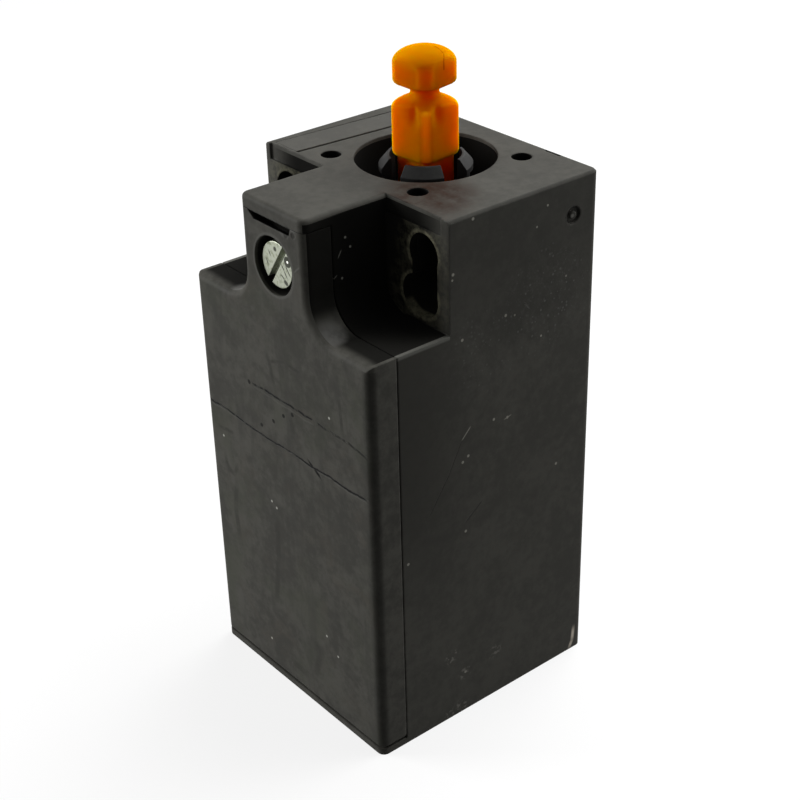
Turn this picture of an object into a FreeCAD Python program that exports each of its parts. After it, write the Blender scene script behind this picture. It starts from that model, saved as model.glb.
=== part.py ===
import FreeCAD, Part
import math
import os

# Door position switch in a compact insulated housing, with an open seat for an operating head.
# Frame: +X to the right as the cover is faced, +Y to the back, +Z up, origin under the middle of the base.
# All sizes are in millimetres and degrees.

Vector = FreeCAD.Vector
X_AXIS = Vector(1, 0, 0)
Y_AXIS = Vector(0, 1, 0)
Z_AXIS = Vector(0, 0, 1)

# Distance within which two places count as the same, and how far a cut runs past a face
TOUCH = 0.01
PAST = 1.0

# Housing
WIDTH = 31.0
DEPTH = 31.8
HEIGHT = 62.8
SIDE_WALL = 2.0
BACK_WALL = 2.3
BASE_PLATE = 3.0
BASE_LIP = 0.75
BODY_CHAMFER = 0.25
BACK_EDGE_RADIUS = 0.9
HEAD_BLOCK = 14.4
HALF_WIDTH = WIDTH / 2
FRONT = -DEPTH / 2
BACK = DEPTH / 2
CHAMBER_TOP = HEIGHT - HEAD_BLOCK
CHAMBER_HALF = HALF_WIDTH - SIDE_WALL
CHAMBER_BACK = BACK - BACK_WALL

# Shoulders beside the tower, where the fixing screws go in
TOWER_HALF = 5.5
SHOULDER_DROP = 12.6
SHOULDER_DEPTH = 10.63
SCOOP_RADIUS = 4.0
LEDGE_DROP = 1.85
LEDGE_STEP = 0.25
LEDGE_MARGIN = 1.3
LEDGE_LEFT_MARGIN = 0.7
SHOULDER = HEIGHT - SHOULDER_DROP
SHOULDER_BACK = FRONT + SHOULDER_DEPTH
LEDGE = HEIGHT - LEDGE_DROP

# Front cover
COVER_DEPTH = 3.5
COVER_PLATE = 2.0
COVER_WALL = 2.0
COVER_EDGE_RADIUS = 0.9
COVER_TOE = 0.3
COVER_HEEL = 0.5
SEAM_GAP = 0.15
TOP_SEAM_GAP = 0.08
TOP_LIP = 1.4
TOP_LIP_ROUNDING = 0.5
PRY_SLOT_LEFT = -4.1
PRY_SLOT_RIGHT = 3.4
PRY_SLOT_HEIGHT = 0.8
PRY_SLOT_DEPTH = 1.6
PRY_SLOT_FALL = 0.9
PRY_SLOT_LEFT_SLANT = 1.1
PRY_SLOT_RIGHT_SLANT = 0.3
COVER_BACK = FRONT + COVER_DEPTH
COVER_INSIDE = FRONT + COVER_PLATE
COVER_BOTTOM = BASE_LIP + SEAM_GAP
COVER_TOP = HEIGHT - TOP_LIP - TOP_SEAM_GAP
SEAM = COVER_BACK + SEAM_GAP

# Sealing rim around the chamber's mouth and the gasket it presses on
RIM_SETBACK = 0.2
RIM_WALL = 1.3
RIM_STEP = 2.2
RIM_DROP = 0.6
RIM_ROOT = 2.4
GASKET_THICKNESS = 0.6
RIM_OUTER = CHAMBER_HALF - RIM_SETBACK
RIM_BOTTOM = BASE_PLATE + RIM_STEP
RIM_TOP = CHAMBER_TOP - RIM_DROP

# Cover screw, its washer and the insert it turns in
SCREW_DROP = 6.65
SCREW_HOLE_RADIUS = 3.3
SCREW_HEAD_RADIUS = 2.55
SCREW_HEAD_SINK = 0.5
SCREW_HEAD_HEIGHT = 1.7
SCREW_SHANK_RADIUS = 1.6
SCREW_SHANK_CLEARANCE = 0.25
SCREW_REACH = 2.5
SCREW_SLOT_WIDTH = 0.8
SCREW_SLOT_DEPTH = 0.8
SCREW_SLOT_TILT = 34.0
WASHER_RADIUS = 3.0
WASHER_THICKNESS = 0.5
WASHER_PLAY = 0.1
INSERT_RADIUS = 2.7
INSERT_LENGTH = 5.0
INSERT_END = 1.0
SCREW_HEIGHT = HEIGHT - SCREW_DROP

# Seat for the operating head
AXIS_DEPTH = 20.83
SOCKET_RADIUS = 7.83
SOCKET_DEPTH = 5.5
INDEX_OFFSET = 7.32
INDEX_RADIUS = 1.15
INDEX_DEPTH = 3.2
AXIS_Y = FRONT + AXIS_DEPTH
SOCKET_FLOOR = HEIGHT - SOCKET_DEPTH

# Fixing holes through the housing: a slot across with a round hole above it
FIXING_SLOT_INSET = 4.65
FIXING_SLOT_RISE = 2.98
FIXING_SLOT_RADIUS = 2.25
FIXING_SLOT_LENGTH = 5.62
FIXING_HOLE_INSET = 4.0
FIXING_HOLE_RISE = 7.9
FIXING_HOLE_RADIUS = 2.25
FIXING_WAIST_INNER = 1.87
FIXING_WAIST_OUTER = 2.1
FIXING_SLOT_X = HALF_WIDTH - FIXING_SLOT_INSET
FIXING_SLOT_Z = SHOULDER + FIXING_SLOT_RISE
FIXING_HOLE_X = HALF_WIDTH - FIXING_HOLE_INSET
FIXING_HOLE_Z = SHOULDER + FIXING_HOLE_RISE

# Strip let into the top near its left edge, leaning inwards to the back
STRIP_THICKNESS = 1.75
STRIP_FRONT_WALL = 0.4
STRIP_END_INSET = 1.4
STRIP_OUTER_FRONT = 1.05
STRIP_OUTER_BACK = 2.35
STRIP_INNER_FRONT = 4.8
STRIP_INNER_BACK = 6.15
STRIP_FIT = 0.03
STRIP_PLAY = 0.2
STRIP_GROOVE = 0.42
STRIP_FRONT = SHOULDER_BACK + LEDGE_STEP + STRIP_FRONT_WALL
STRIP_END = BACK - STRIP_END_INSET

# Short slot near the back edge of the top
NOTCH_INSET = 5.5
NOTCH_LENGTH = 2.3
NOTCH_FRONT = 0.6
NOTCH_BACK = 0.25
NOTCH_DEPTH = 0.6

# Moulding mark in the right side
MARK_INSET = 3.8
MARK_DROP = 4.2
MARK_RADIUS = 1.0
MARK_CORE = 0.45
MARK_DEPTH = 0.3

# Cable entry
ENTRY_RADIUS = 9.25
ENTRY_LENGTH = 9.0
ENTRY_WALL = 2.35
ENTRY_CHAMFER = 0.6

# Operating plunger, from its tip down
PLUNGER_REACH = 12.35
HEAD_RADIUS = 3.42
HEAD_FLAT = 2.95
DOME_RISE = 1.85
HEAD_SIDE = 2.0
HEAD_TAPER = 0.75
NECK_RADIUS = 1.57
NECK_FLARE = 0.3
NECK_LENGTH = 0.95
BODY_TAPER = 1.0
BODY_LENGTH = 5.5
BODY_RADIUS = 3.82
BODY_FLAT = 2.95
BODY_EDGE = 0.45
FLUTE_RADIUS = 0.9
FLUTE_BITE = 0.5
FLUTE_LENGTH = 3.0
LEG_FLAT = 2.35
LEG_RADIUS = 3.05
LEG_LENGTH = 4.9
STEM_RADIUS = 2.2
STEM_GRIP = 4.1
TIP = HEIGHT + PLUNGER_REACH
HEAD_SIDE_TOP = TIP - DOME_RISE
HEAD_SIDE_BOTTOM = HEAD_SIDE_TOP - HEAD_SIDE
NECK_TOP = HEAD_SIDE_BOTTOM - HEAD_TAPER
NECK_BOTTOM = NECK_TOP - NECK_LENGTH
BODY_SHOULDER = NECK_BOTTOM - BODY_TAPER
BODY_BOTTOM = BODY_SHOULDER - BODY_LENGTH
LEG_BOTTOM = BODY_BOTTOM - LEG_LENGTH

# Guide with four snap fingers, and the seal around the stem
GUIDE_PLATE_THICKNESS = 1.8
GUIDE_PLATE_INSET = 2.1
GUIDE_PLATE_DEPTH = 15.2
GUIDE_RADIUS = 4.8
GUIDE_PLAY = 0.05
GUIDE_BORE_CLEARANCE = 0.13
STEM_CLEARANCE = 0.08
FINGER_RISE = 0.3
FINGER_LENGTH = 5.3
FINGER_HALF_ANGLE = 27.0
FINGER_BEVEL = 1.05
FINGER_HOOK = 0.55
FINGER_HOOK_LEAD = 0.3
FINGER_HOOK_RADIUS = 5.15
FINGER_TIP_RADIUS = 4.25
SEAL_RISE = 2.0
SEAL_HEIGHT = 2.2
SEAL_CLEARANCE = 0.05
GUIDE_BORE = BODY_RADIUS + GUIDE_BORE_CLEARANCE
GUIDE_PLATE_BOTTOM = CHAMBER_TOP - GUIDE_PLATE_THICKNESS
FINGER_TOP = HEIGHT + FINGER_RISE
FINGER_ROOT = FINGER_TOP - FINGER_LENGTH
FINGER_BEVEL_BOTTOM = FINGER_TOP - FINGER_BEVEL
FINGER_LEAD_TOP = FINGER_BEVEL_BOTTOM - FINGER_HOOK
SEAL_BOTTOM = CHAMBER_TOP + SEAL_RISE

# Contact carrier on the end of the stem
CARRIER_HALF = 3.0
CARRIER_HALF_DEPTH = 3.5
CARRIER_PLAY = 0.1
CARRIER_CROWN = 6.25
CARRIER_WEB = 1.4
CARRIER_FOOT = 2.0
NC_WINDOW_HEIGHT = 6.85
NO_WINDOW_HEIGHT = 5.8
CARRIER_TOP = GUIDE_PLATE_BOTTOM - CARRIER_PLAY
STEM_BOTTOM = CARRIER_TOP - STEM_GRIP
NC_WINDOW_TOP = CARRIER_TOP - CARRIER_CROWN
NC_WINDOW_BOTTOM = NC_WINDOW_TOP - NC_WINDOW_HEIGHT
NO_WINDOW_TOP = NC_WINDOW_BOTTOM - CARRIER_WEB
NO_WINDOW_BOTTOM = NO_WINDOW_TOP - NO_WINDOW_HEIGHT
CARRIER_BOTTOM = NO_WINDOW_BOTTOM - CARRIER_FOOT

# Contact bridges and tips
BRIDGE_HALF = 8.2
BRIDGE_HALF_DEPTH = 2.25
BRIDGE_THICKNESS = 0.8
BRIDGE_PLAY = 0.1
BRIDGE_TIP_X = 6.7
TIP_HALF = 1.3
TIP_THICKNESS = 0.7
TIP_GAP = 0.03
NC_SPRING_LENGTH = 5.0
NO_TRAVEL = 3.6
NC_BRIDGE_BOTTOM = NC_WINDOW_BOTTOM + NC_SPRING_LENGTH
NO_BRIDGE_BOTTOM = NO_WINDOW_BOTTOM

# Terminals and their screws
TERMINAL_SHEET = 1.0
TAB_INNER = 4.4
TAB_HALF_HEIGHT = 3.4
TONGUE_INNER = 5.2
TONGUE_HALF_DEPTH = 2.5
LEG_HEIGHT = 4.0
NC_TAB_DROP = 6.6
NO_TAB_DROP = 22.0
TERMINAL_SCREW_X = 7.9
TERMINAL_SCREW_RADIUS = 1.5
TERMINAL_SCREW_LENGTH = 4.5
TERMINAL_HOLE_END = 1.0
TERMINAL_HEAD_RADIUS = 2.7
TERMINAL_HEAD_HEIGHT = 1.8
TERMINAL_SLOT = 0.7
TERMINAL_SLOT_DEPTH = 1.0
TERMINAL_SLOT_TILT = 30.0
TERMINAL_CLEARANCE = 0.1
CLAMP_HALF = 3.2
CLAMP_THICKNESS = 0.9
NC_TAB_Z = GUIDE_PLATE_BOTTOM - NC_TAB_DROP
NO_TAB_Z = GUIDE_PLATE_BOTTOM - NO_TAB_DROP

# Contact block
BLOCK_SIDE_CLEARANCE = 1.7
BLOCK_ENTRY_CLEARANCE = 1.0
BLOCK_FLOOR = 1.6
BLOCK_FRONT_DEPTH = 10.6
BLOCK_PILLAR_DEPTH = 6.2
BLOCK_PILLAR_INNER = 4.2
BLOCK_PILLAR_FOOT = 2.2
BLOCK_WALL_INNER = 8.8
BLOCK_BACK_PLATE = 1.6
BLOCK_RIB_WIDTH = 3.0
BLOCK_RIB_DEPTH = 9.0
GUIDE_RIB_WIDTH = 1.4
LID_THICKNESS = 1.4
LID_RIB_DEPTH = 1.7
BLOCK_HALF = CHAMBER_HALF - BLOCK_SIDE_CLEARANCE
BLOCK_FRONT = FRONT + BLOCK_FRONT_DEPTH
BLOCK_FLOOR_BOTTOM = ENTRY_LENGTH + BLOCK_ENTRY_CLEARANCE
BLOCK_FLOOR_TOP = BLOCK_FLOOR_BOTTOM + BLOCK_FLOOR
BLOCK_PILLAR_BACK = BLOCK_FRONT + BLOCK_PILLAR_DEPTH
BLOCK_PILLAR_BOTTOM = NO_TAB_Z - TAB_HALF_HEIGHT - BLOCK_PILLAR_FOOT
BLOCK_BACK_FRONT = CHAMBER_BACK - BLOCK_BACK_PLATE

# Springs of square wire
RETURN_SPRING_RADIUS = 2.3
RETURN_SPRING_WIRE = 0.5
RETURN_SPRING_TURNS = 5
CONTACT_SPRING_RADIUS = 1.5
CONTACT_SPRING_WIRE = 0.34
CONTACT_SPRING_TURNS = 3
SPRING_SIDES = 8
SPIGOT_RADIUS = 1.6
SPIGOT_HEIGHT = 1.5


# Helpers

def box(x0, x1, y0, y1, z0, z1):
    return Part.makeBox(x1 - x0, y1 - y0, z1 - z0, Vector(x0, y0, z0))


def rod(radius, x, y, z0, z1):
    return Part.makeCylinder(radius, z1 - z0, Vector(x, y, z0), Z_AXIS)


def bar(radius, x, z, y0, y1):
    return Part.makeCylinder(radius, y1 - y0, Vector(x, y0, z), Y_AXIS)


def mirrored(shape):
    return shape.mirror(Vector(0, 0, 0), X_AXIS)


def both_sides(shape):
    return [shape, mirrored(shape)]


def union(shapes):
    return shapes[0].multiFuse(shapes[1:]).removeSplitter()


def closed(points):
    return Part.makePolygon(points + points[:1])


def turned(wire):
    return Part.Face(wire).revolve(Vector(0, AXIS_Y, 0), Z_AXIS, 360)


def on_axis(radius, z):
    """Point in the plane that a turned profile is drawn in."""
    return Vector(radius, AXIS_Y, z)


def upright_prism(points, z0, z1):
    corners = [Vector(x, y, z0) for x, y in points]
    return Part.Face(closed(corners)).extrude(Vector(0, 0, z1 - z0))


def square_column(flat, z0, z1):
    return box(-flat, flat, AXIS_Y - flat, AXIS_Y + flat, z0, z1)


def coil(radius, wire, turns, z0, z1):
    """Spring of square wire, as a ruled loft through its sections."""
    half = wire / 2
    rise = (z1 - z0 - wire) / turns
    start = z0 + half
    corners = [(-half, -half), (half, -half), (half, half), (-half, half)]
    profile = closed([on_axis(radius + across, start + up) for across, up in corners])
    sections = []
    for step in range(turns * SPRING_SIDES + 1):
        section = profile.copy()
        section.rotate(Vector(0, AXIS_Y, 0), Z_AXIS, 360 * step / SPRING_SIDES)
        section.translate(Vector(0, 0, rise * step / SPRING_SIDES))
        sections.append(section)
    return Part.makeLoft(sections, True, True)


# Outlines

def scoop(y0, y1):
    """Space beside the tower on the right, with a concave foot."""
    top = HEIGHT + PAST
    side = HALF_WIDTH + PAST
    lean = SCOOP_RADIUS * math.sqrt(0.5)
    centre_x = TOWER_HALF + SCOOP_RADIUS
    centre_z = SHOULDER + SCOOP_RADIUS
    arc_start = Vector(TOWER_HALF, y0, centre_z)
    arc_end = Vector(centre_x, y0, SHOULDER)
    corners = [
        arc_end,
        Vector(side, y0, SHOULDER),
        Vector(side, y0, top),
        Vector(TOWER_HALF, y0, top),
        arc_start,
    ]
    foot = Part.Arc(arc_start, Vector(centre_x - lean, y0, centre_z - lean), arc_end).toShape()
    outline = Part.Wire([foot] + Part.makePolygon(corners).Edges)
    return Part.Face(outline).extrude(Vector(0, y1 - y0, 0))


def scoops(y0, y1):
    return both_sides(scoop(y0, y1))


def rim(outer, y0, y1):
    inner = RIM_OUTER - RIM_WALL
    frame = box(-outer, outer, y0, y1, RIM_BOTTOM, RIM_TOP)
    return frame.cut(box(-inner, inner, y0, y1, RIM_BOTTOM + RIM_WALL, RIM_TOP - RIM_WALL))


# Housing

def edges_at_top(block):
    """Edges of a shape that lie in the top of the housing."""
    return [e for e in block.Edges if e.BoundBox.ZMin > HEIGHT - TOUCH]


def housing_block():
    block = box(-HALF_WIDTH, HALF_WIDTH, SEAM, BACK, 0, HEIGHT)
    back_edges = [e for e in block.Edges if e.BoundBox.ZLength > TOUCH and e.BoundBox.YMin > BACK - TOUCH]
    block = block.makeFillet(BACK_EDGE_RADIUS, back_edges)
    top_edges = [e for e in edges_at_top(block) if e.BoundBox.YMax > SEAM + TOUCH]
    return block.makeChamfer(BODY_CHAMFER, top_edges)


def fixing_hole():
    half = FIXING_SLOT_LENGTH / 2 - FIXING_SLOT_RADIUS
    left = FIXING_SLOT_X - half
    right = FIXING_SLOT_X + half
    start = SHOULDER_BACK - PAST
    end = BACK + PAST
    bottom = FIXING_SLOT_Z - FIXING_SLOT_RADIUS
    top = FIXING_SLOT_Z + FIXING_SLOT_RADIUS
    waist_left = FIXING_HOLE_X - FIXING_WAIST_INNER
    waist_right = FIXING_HOLE_X + FIXING_WAIST_OUTER
    return union([
        box(left, right, start, end, bottom, top),
        bar(FIXING_SLOT_RADIUS, left, FIXING_SLOT_Z, start, end),
        bar(FIXING_SLOT_RADIUS, right, FIXING_SLOT_Z, start, end),
        bar(FIXING_HOLE_RADIUS, FIXING_HOLE_X, FIXING_HOLE_Z, start, end),
        box(waist_left, waist_right, start, end, FIXING_SLOT_Z, FIXING_HOLE_Z),
    ])


def strip_outline(fit, play, groove):
    """Strip from above, made larger by a fit at the front, a play at the back and a groove inside."""
    left = -HALF_WIDTH
    front = STRIP_FRONT - fit
    end = STRIP_END + play
    return [
        (left + STRIP_OUTER_FRONT - fit, front),
        (left + STRIP_INNER_FRONT + groove, front),
        (left + STRIP_INNER_BACK + groove, end),
        (left + STRIP_OUTER_BACK - play, end),
    ]


def strip_bed():
    outline = strip_outline(STRIP_FIT, STRIP_PLAY, STRIP_GROOVE)
    return upright_prism(outline, HEIGHT - STRIP_THICKNESS, HEIGHT + PAST)


def cable_entry():
    entry = rod(ENTRY_RADIUS, 0, 0, -PAST, ENTRY_LENGTH + PAST)
    lead = Part.makeCone(ENTRY_RADIUS + ENTRY_CHAMFER, ENTRY_RADIUS, ENTRY_CHAMFER, Vector(0, 0, 0), Z_AXIS)
    return entry.fuse(lead)


def housing_inside():
    rim_back = SEAM + RIM_ROOT
    rib_inner = CHAMBER_HALF - BLOCK_RIB_WIDTH
    rib_front = CHAMBER_BACK - BLOCK_RIB_DEPTH
    chamber = box(-CHAMBER_HALF, CHAMBER_HALF, SEAM - PAST, CHAMBER_BACK, BASE_PLATE, CHAMBER_TOP)
    kept = [
        rim(CHAMBER_HALF, SEAM, rim_back),
        box(-CHAMBER_HALF, CHAMBER_HALF, SEAM, rim_back, RIM_TOP - RIM_WALL, CHAMBER_TOP),
        rod(ENTRY_RADIUS + ENTRY_WALL, 0, 0, 0, ENTRY_LENGTH),
    ]
    ribs = both_sides(box(rib_inner, CHAMBER_HALF, rib_front, CHAMBER_BACK, 0, BLOCK_FLOOR_BOTTOM))
    return chamber.cut(kept + ribs)


def lip(half_width, z0, z1):
    """Edge of the housing that runs flush with the cover's front."""
    block = box(-half_width, half_width, FRONT, SEAM, z0, z1)
    corners = [e for e in block.Edges if e.BoundBox.YMax < FRONT + TOUCH and e.BoundBox.ZLength > TOUCH]
    return block.makeFillet(COVER_EDGE_RADIUS, corners)


def top_lip():
    """Lip over the cover's top, softly rounded along its upper edges."""
    block = lip(TOWER_HALF, HEIGHT - TOP_LIP, HEIGHT)
    edges = [e for e in edges_at_top(block) if e.BoundBox.YMin < SEAM - TOUCH]
    return block.makeFillet(TOP_LIP_ROUNDING, edges)


def tower_edge():
    """Waste beside the rounded upper edge of the tower, behind the lip."""
    inner = TOWER_HALF - TOP_LIP_ROUNDING
    foot = HEIGHT - TOP_LIP_ROUNDING
    end = SHOULDER_BACK + LEDGE_STEP
    corner = box(inner, TOWER_HALF + PAST, SEAM, end, foot, HEIGHT + PAST)
    return corner.cut(bar(TOP_LIP_ROUNDING, inner, foot, SEAM - PAST, end + PAST))


def index_holes():
    places = [(x, AXIS_Y + y) for x in (-INDEX_OFFSET, INDEX_OFFSET) for y in (-INDEX_OFFSET, INDEX_OFFSET)]
    return [rod(INDEX_RADIUS, x, y, HEIGHT - INDEX_DEPTH, HEIGHT + PAST) for x, y in places]


def ledge(margin):
    """Shallow step along the top of the wall behind the right shoulder."""
    back = SHOULDER_BACK + LEDGE_STEP
    return box(TOWER_HALF, HALF_WIDTH - margin, SHOULDER_BACK - PAST, back, LEDGE, HEIGHT + PAST)


def notch():
    right = HALF_WIDTH - NOTCH_INSET
    front = BACK - NOTCH_FRONT
    return box(right - NOTCH_LENGTH, right, front, BACK - NOTCH_BACK, HEIGHT - NOTCH_DEPTH, HEIGHT + PAST)


def moulding_mark():
    place = Vector(HALF_WIDTH - MARK_DEPTH, BACK - MARK_INSET, HEIGHT - MARK_DROP)
    ring = Part.makeCylinder(MARK_RADIUS, MARK_DEPTH + PAST, place, X_AXIS)
    return ring.cut(Part.makeCylinder(MARK_CORE, MARK_DEPTH + PAST, place, X_AXIS))


def housing():
    base_lip = lip(HALF_WIDTH, 0, BASE_LIP)
    tongue = rim(RIM_OUTER, COVER_INSIDE + GASKET_THICKNESS, SEAM)
    body = union([housing_block(), base_lip, top_lip()])
    cuts = [
        housing_inside(),
        cable_entry(),
        rod(SOCKET_RADIUS, 0, AXIS_Y, SOCKET_FLOOR, HEIGHT + PAST),
        rod(GUIDE_RADIUS + GUIDE_PLAY, 0, AXIS_Y, CHAMBER_TOP - PAST, SOCKET_FLOOR + PAST),
        bar(INSERT_RADIUS, 0, SCREW_HEIGHT, SEAM - PAST, SEAM + INSERT_LENGTH),
        strip_bed(),
        ledge(LEDGE_MARGIN),
        mirrored(ledge(LEDGE_LEFT_MARGIN)),
        notch(),
        moulding_mark(),
    ]
    cuts += scoops(SEAM - PAST, SHOULDER_BACK) + both_sides(tower_edge())
    cuts += both_sides(fixing_hole()) + index_holes()
    return union([body.cut(cuts), tongue])


def top_strip():
    return upright_prism(strip_outline(0, 0, 0), HEIGHT - STRIP_THICKNESS, HEIGHT)


# Cover

def edges_at_foot(block):
    """Edges across the lower end of the cover."""
    return [e for e in block.Edges if e.BoundBox.ZMax < COVER_BOTTOM + TOUCH and e.BoundBox.XLength > TOUCH]


def cover_block():
    whole = box(-HALF_WIDTH, HALF_WIDTH, FRONT, COVER_BACK, COVER_BOTTOM, COVER_TOP)
    block = whole.cut(scoops(FRONT - PAST, COVER_BACK + PAST))
    front_edges = [e for e in block.Edges if e.BoundBox.YMax < FRONT + TOUCH]
    above_foot = [e for e in front_edges if e.BoundBox.ZMax > COVER_BOTTOM + TOUCH]
    block = block.makeFillet(COVER_EDGE_RADIUS, [e for e in above_foot if e.BoundBox.ZMin < COVER_TOP - TOUCH])
    toe = [e for e in edges_at_foot(block) if e.BoundBox.YMax < COVER_BACK - TOUCH]
    block = block.makeChamfer(COVER_TOE, toe)
    heel = [e for e in edges_at_foot(block) if e.BoundBox.YMin > COVER_BACK - TOUCH]
    return block.makeChamfer(COVER_HEEL, heel)


def pry_slot():
    """Slot under the lip, its floor falling inwards and its ends slanted."""
    bottom = COVER_TOP - PRY_SLOT_HEIGHT
    corners = [
        Vector(PRY_SLOT_LEFT, FRONT, COVER_TOP),
        Vector(PRY_SLOT_RIGHT, FRONT, COVER_TOP),
        Vector(PRY_SLOT_RIGHT - PRY_SLOT_RIGHT_SLANT, FRONT, bottom),
        Vector(PRY_SLOT_LEFT + PRY_SLOT_LEFT_SLANT, FRONT, bottom),
    ]
    return Part.Face(closed(corners)).extrude(Vector(0, PRY_SLOT_DEPTH, -PRY_SLOT_FALL))


def washer_front():
    return COVER_BACK - WASHER_PLAY - WASHER_THICKNESS


def front_cover():
    inside = HALF_WIDTH - COVER_WALL
    past_back = COVER_BACK + PAST
    head_floor = FRONT + SCREW_HEAD_SINK + SCREW_HEAD_HEIGHT
    return cover_block().cut([
        box(-inside, inside, COVER_INSIDE, past_back, COVER_BOTTOM + COVER_WALL, SHOULDER - COVER_WALL),
        bar(SCREW_HOLE_RADIUS, 0, SCREW_HEIGHT, FRONT - PAST, head_floor),
        bar(SCREW_SHANK_RADIUS + SCREW_SHANK_CLEARANCE, 0, SCREW_HEIGHT, FRONT, past_back),
        bar(WASHER_RADIUS + WASHER_PLAY, 0, SCREW_HEIGHT, washer_front(), past_back),
        pry_slot(),
    ])


def cover_gasket():
    return rim(RIM_OUTER, COVER_INSIDE, COVER_INSIDE + GASKET_THICKNESS)


def screw_slot(head_radius, width, depth, x, z, front, tilt):
    half = width / 2
    reach = head_radius + PAST
    slot = box(x - half, x + half, front - PAST, front + depth, z - reach, z + reach)
    slot.rotate(Vector(x, 0, z), Y_AXIS, tilt)
    return slot


def cover_screw():
    head_front = FRONT + SCREW_HEAD_SINK
    head_back = head_front + SCREW_HEAD_HEIGHT
    head = bar(SCREW_HEAD_RADIUS, 0, SCREW_HEIGHT, head_front, head_back)
    shank = bar(SCREW_SHANK_RADIUS, 0, SCREW_HEIGHT, head_back, SEAM + SCREW_REACH)
    slot = screw_slot(SCREW_HEAD_RADIUS, SCREW_SLOT_WIDTH, SCREW_SLOT_DEPTH, 0, SCREW_HEIGHT, head_front,
                      SCREW_SLOT_TILT)
    return union([head, shank]).cut(slot)


def screw_washer():
    front = washer_front()
    washer = bar(WASHER_RADIUS, 0, SCREW_HEIGHT, front, front + WASHER_THICKNESS)
    return washer.cut(bar(SCREW_SHANK_RADIUS, 0, SCREW_HEIGHT, front - PAST, COVER_BACK + PAST))


def screw_insert():
    end = SEAM + INSERT_LENGTH
    insert = bar(INSERT_RADIUS, 0, SCREW_HEIGHT, SEAM, end)
    bore = bar(SCREW_SHANK_RADIUS + SCREW_SHANK_CLEARANCE, 0, SCREW_HEIGHT, SEAM - PAST, end - INSERT_END)
    return insert.cut(bore)


# Plunger and its guide

def plunger_profile():
    """Outline from the foot of the body over the waist to the domed tip."""
    dome_radius = (HEAD_RADIUS ** 2 + DOME_RISE ** 2) / (2 * DOME_RISE)
    half_way = HEAD_RADIUS / 2
    dome_middle = on_axis(half_way, TIP - dome_radius + math.sqrt(dome_radius ** 2 - half_way ** 2))
    flare = NECK_RADIUS + NECK_FLARE
    head_corner = on_axis(HEAD_RADIUS, HEAD_SIDE_TOP)
    tip = on_axis(0, TIP)
    side = [
        tip,
        on_axis(0, BODY_BOTTOM),
        on_axis(BODY_RADIUS - BODY_EDGE, BODY_BOTTOM),
        on_axis(BODY_RADIUS, BODY_BOTTOM + BODY_EDGE),
        on_axis(BODY_RADIUS, BODY_SHOULDER - BODY_EDGE),
        on_axis(BODY_RADIUS - BODY_EDGE, BODY_SHOULDER),
        on_axis(flare, NECK_BOTTOM),
        on_axis(NECK_RADIUS, NECK_BOTTOM + NECK_FLARE),
        on_axis(NECK_RADIUS, NECK_TOP - NECK_FLARE),
        on_axis(flare, NECK_TOP),
        on_axis(HEAD_RADIUS, HEAD_SIDE_BOTTOM),
        head_corner,
    ]
    dome = Part.Arc(head_corner, dome_middle, tip).toShape()
    return Part.Wire(Part.makePolygon(side).Edges + [dome])


def flutes():
    """Grooves down the four faces of the body that run out half-way."""
    top_x = BODY_FLAT + FLUTE_RADIUS - FLUTE_BITE
    foot_x = BODY_FLAT + FLUTE_RADIUS
    foot = Vector(foot_x, AXIS_Y, BODY_SHOULDER - FLUTE_LENGTH)
    along = Vector(top_x, AXIS_Y, BODY_SHOULDER) - foot
    flute = Part.makeCylinder(FLUTE_RADIUS, along.Length + BODY_TAPER, foot, along)
    grooves = []
    for quarter in range(4):
        groove = flute.copy()
        groove.rotate(Vector(0, AXIS_Y, 0), Z_AXIS, 90 * quarter)
        grooves.append(groove)
    return grooves


def plunger():
    neck_middle = (NECK_BOTTOM + NECK_TOP) / 2
    body_flats = square_column(BODY_FLAT, BODY_BOTTOM, neck_middle)
    head_flats = square_column(HEAD_FLAT, neck_middle, TIP)
    upper = turned(plunger_profile()).common(union([body_flats, head_flats])).cut(flutes())
    leg_round = rod(LEG_RADIUS, 0, AXIS_Y, LEG_BOTTOM, BODY_BOTTOM)
    leg = square_column(LEG_FLAT, LEG_BOTTOM, BODY_BOTTOM).common(leg_round)
    stem = rod(STEM_RADIUS, 0, AXIS_Y, STEM_BOTTOM, LEG_BOTTOM)
    return union([upper, leg, stem])


def finger_gaps():
    width = 90 - 2 * FINGER_HALF_ANGLE
    start = FINGER_HALF_ANGLE - 45
    reach = FINGER_HOOK_RADIUS + PAST
    gap = Part.makeCylinder(reach, FINGER_LENGTH + PAST, on_axis(0, FINGER_ROOT), Z_AXIS, width)
    gaps = []
    for quarter in range(4):
        turn = gap.copy()
        turn.rotate(Vector(0, AXIS_Y, 0), Z_AXIS, start + 90 * quarter)
        gaps.append(turn)
    return gaps


def plunger_guide():
    stem_bore = STEM_RADIUS + STEM_CLEARANCE
    tube = turned(closed([
        on_axis(stem_bore, GUIDE_PLATE_BOTTOM),
        on_axis(GUIDE_RADIUS, GUIDE_PLATE_BOTTOM),
        on_axis(GUIDE_RADIUS, FINGER_LEAD_TOP - FINGER_HOOK_LEAD),
        on_axis(FINGER_HOOK_RADIUS, FINGER_LEAD_TOP),
        on_axis(FINGER_HOOK_RADIUS, FINGER_BEVEL_BOTTOM),
        on_axis(FINGER_TIP_RADIUS, FINGER_TOP),
        on_axis(GUIDE_BORE, FINGER_TOP),
        on_axis(GUIDE_BORE, SEAL_BOTTOM),
        on_axis(stem_bore, SEAL_BOTTOM),
    ]))
    half = CHAMBER_HALF - GUIDE_PLATE_INSET
    plate = box(-half, half, FRONT + GUIDE_PLATE_DEPTH, CHAMBER_BACK, GUIDE_PLATE_BOTTOM, CHAMBER_TOP)
    plate = plate.cut(rod(stem_bore, 0, AXIS_Y, GUIDE_PLATE_BOTTOM, CHAMBER_TOP))
    return union([tube, plate]).cut(finger_gaps())


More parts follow.
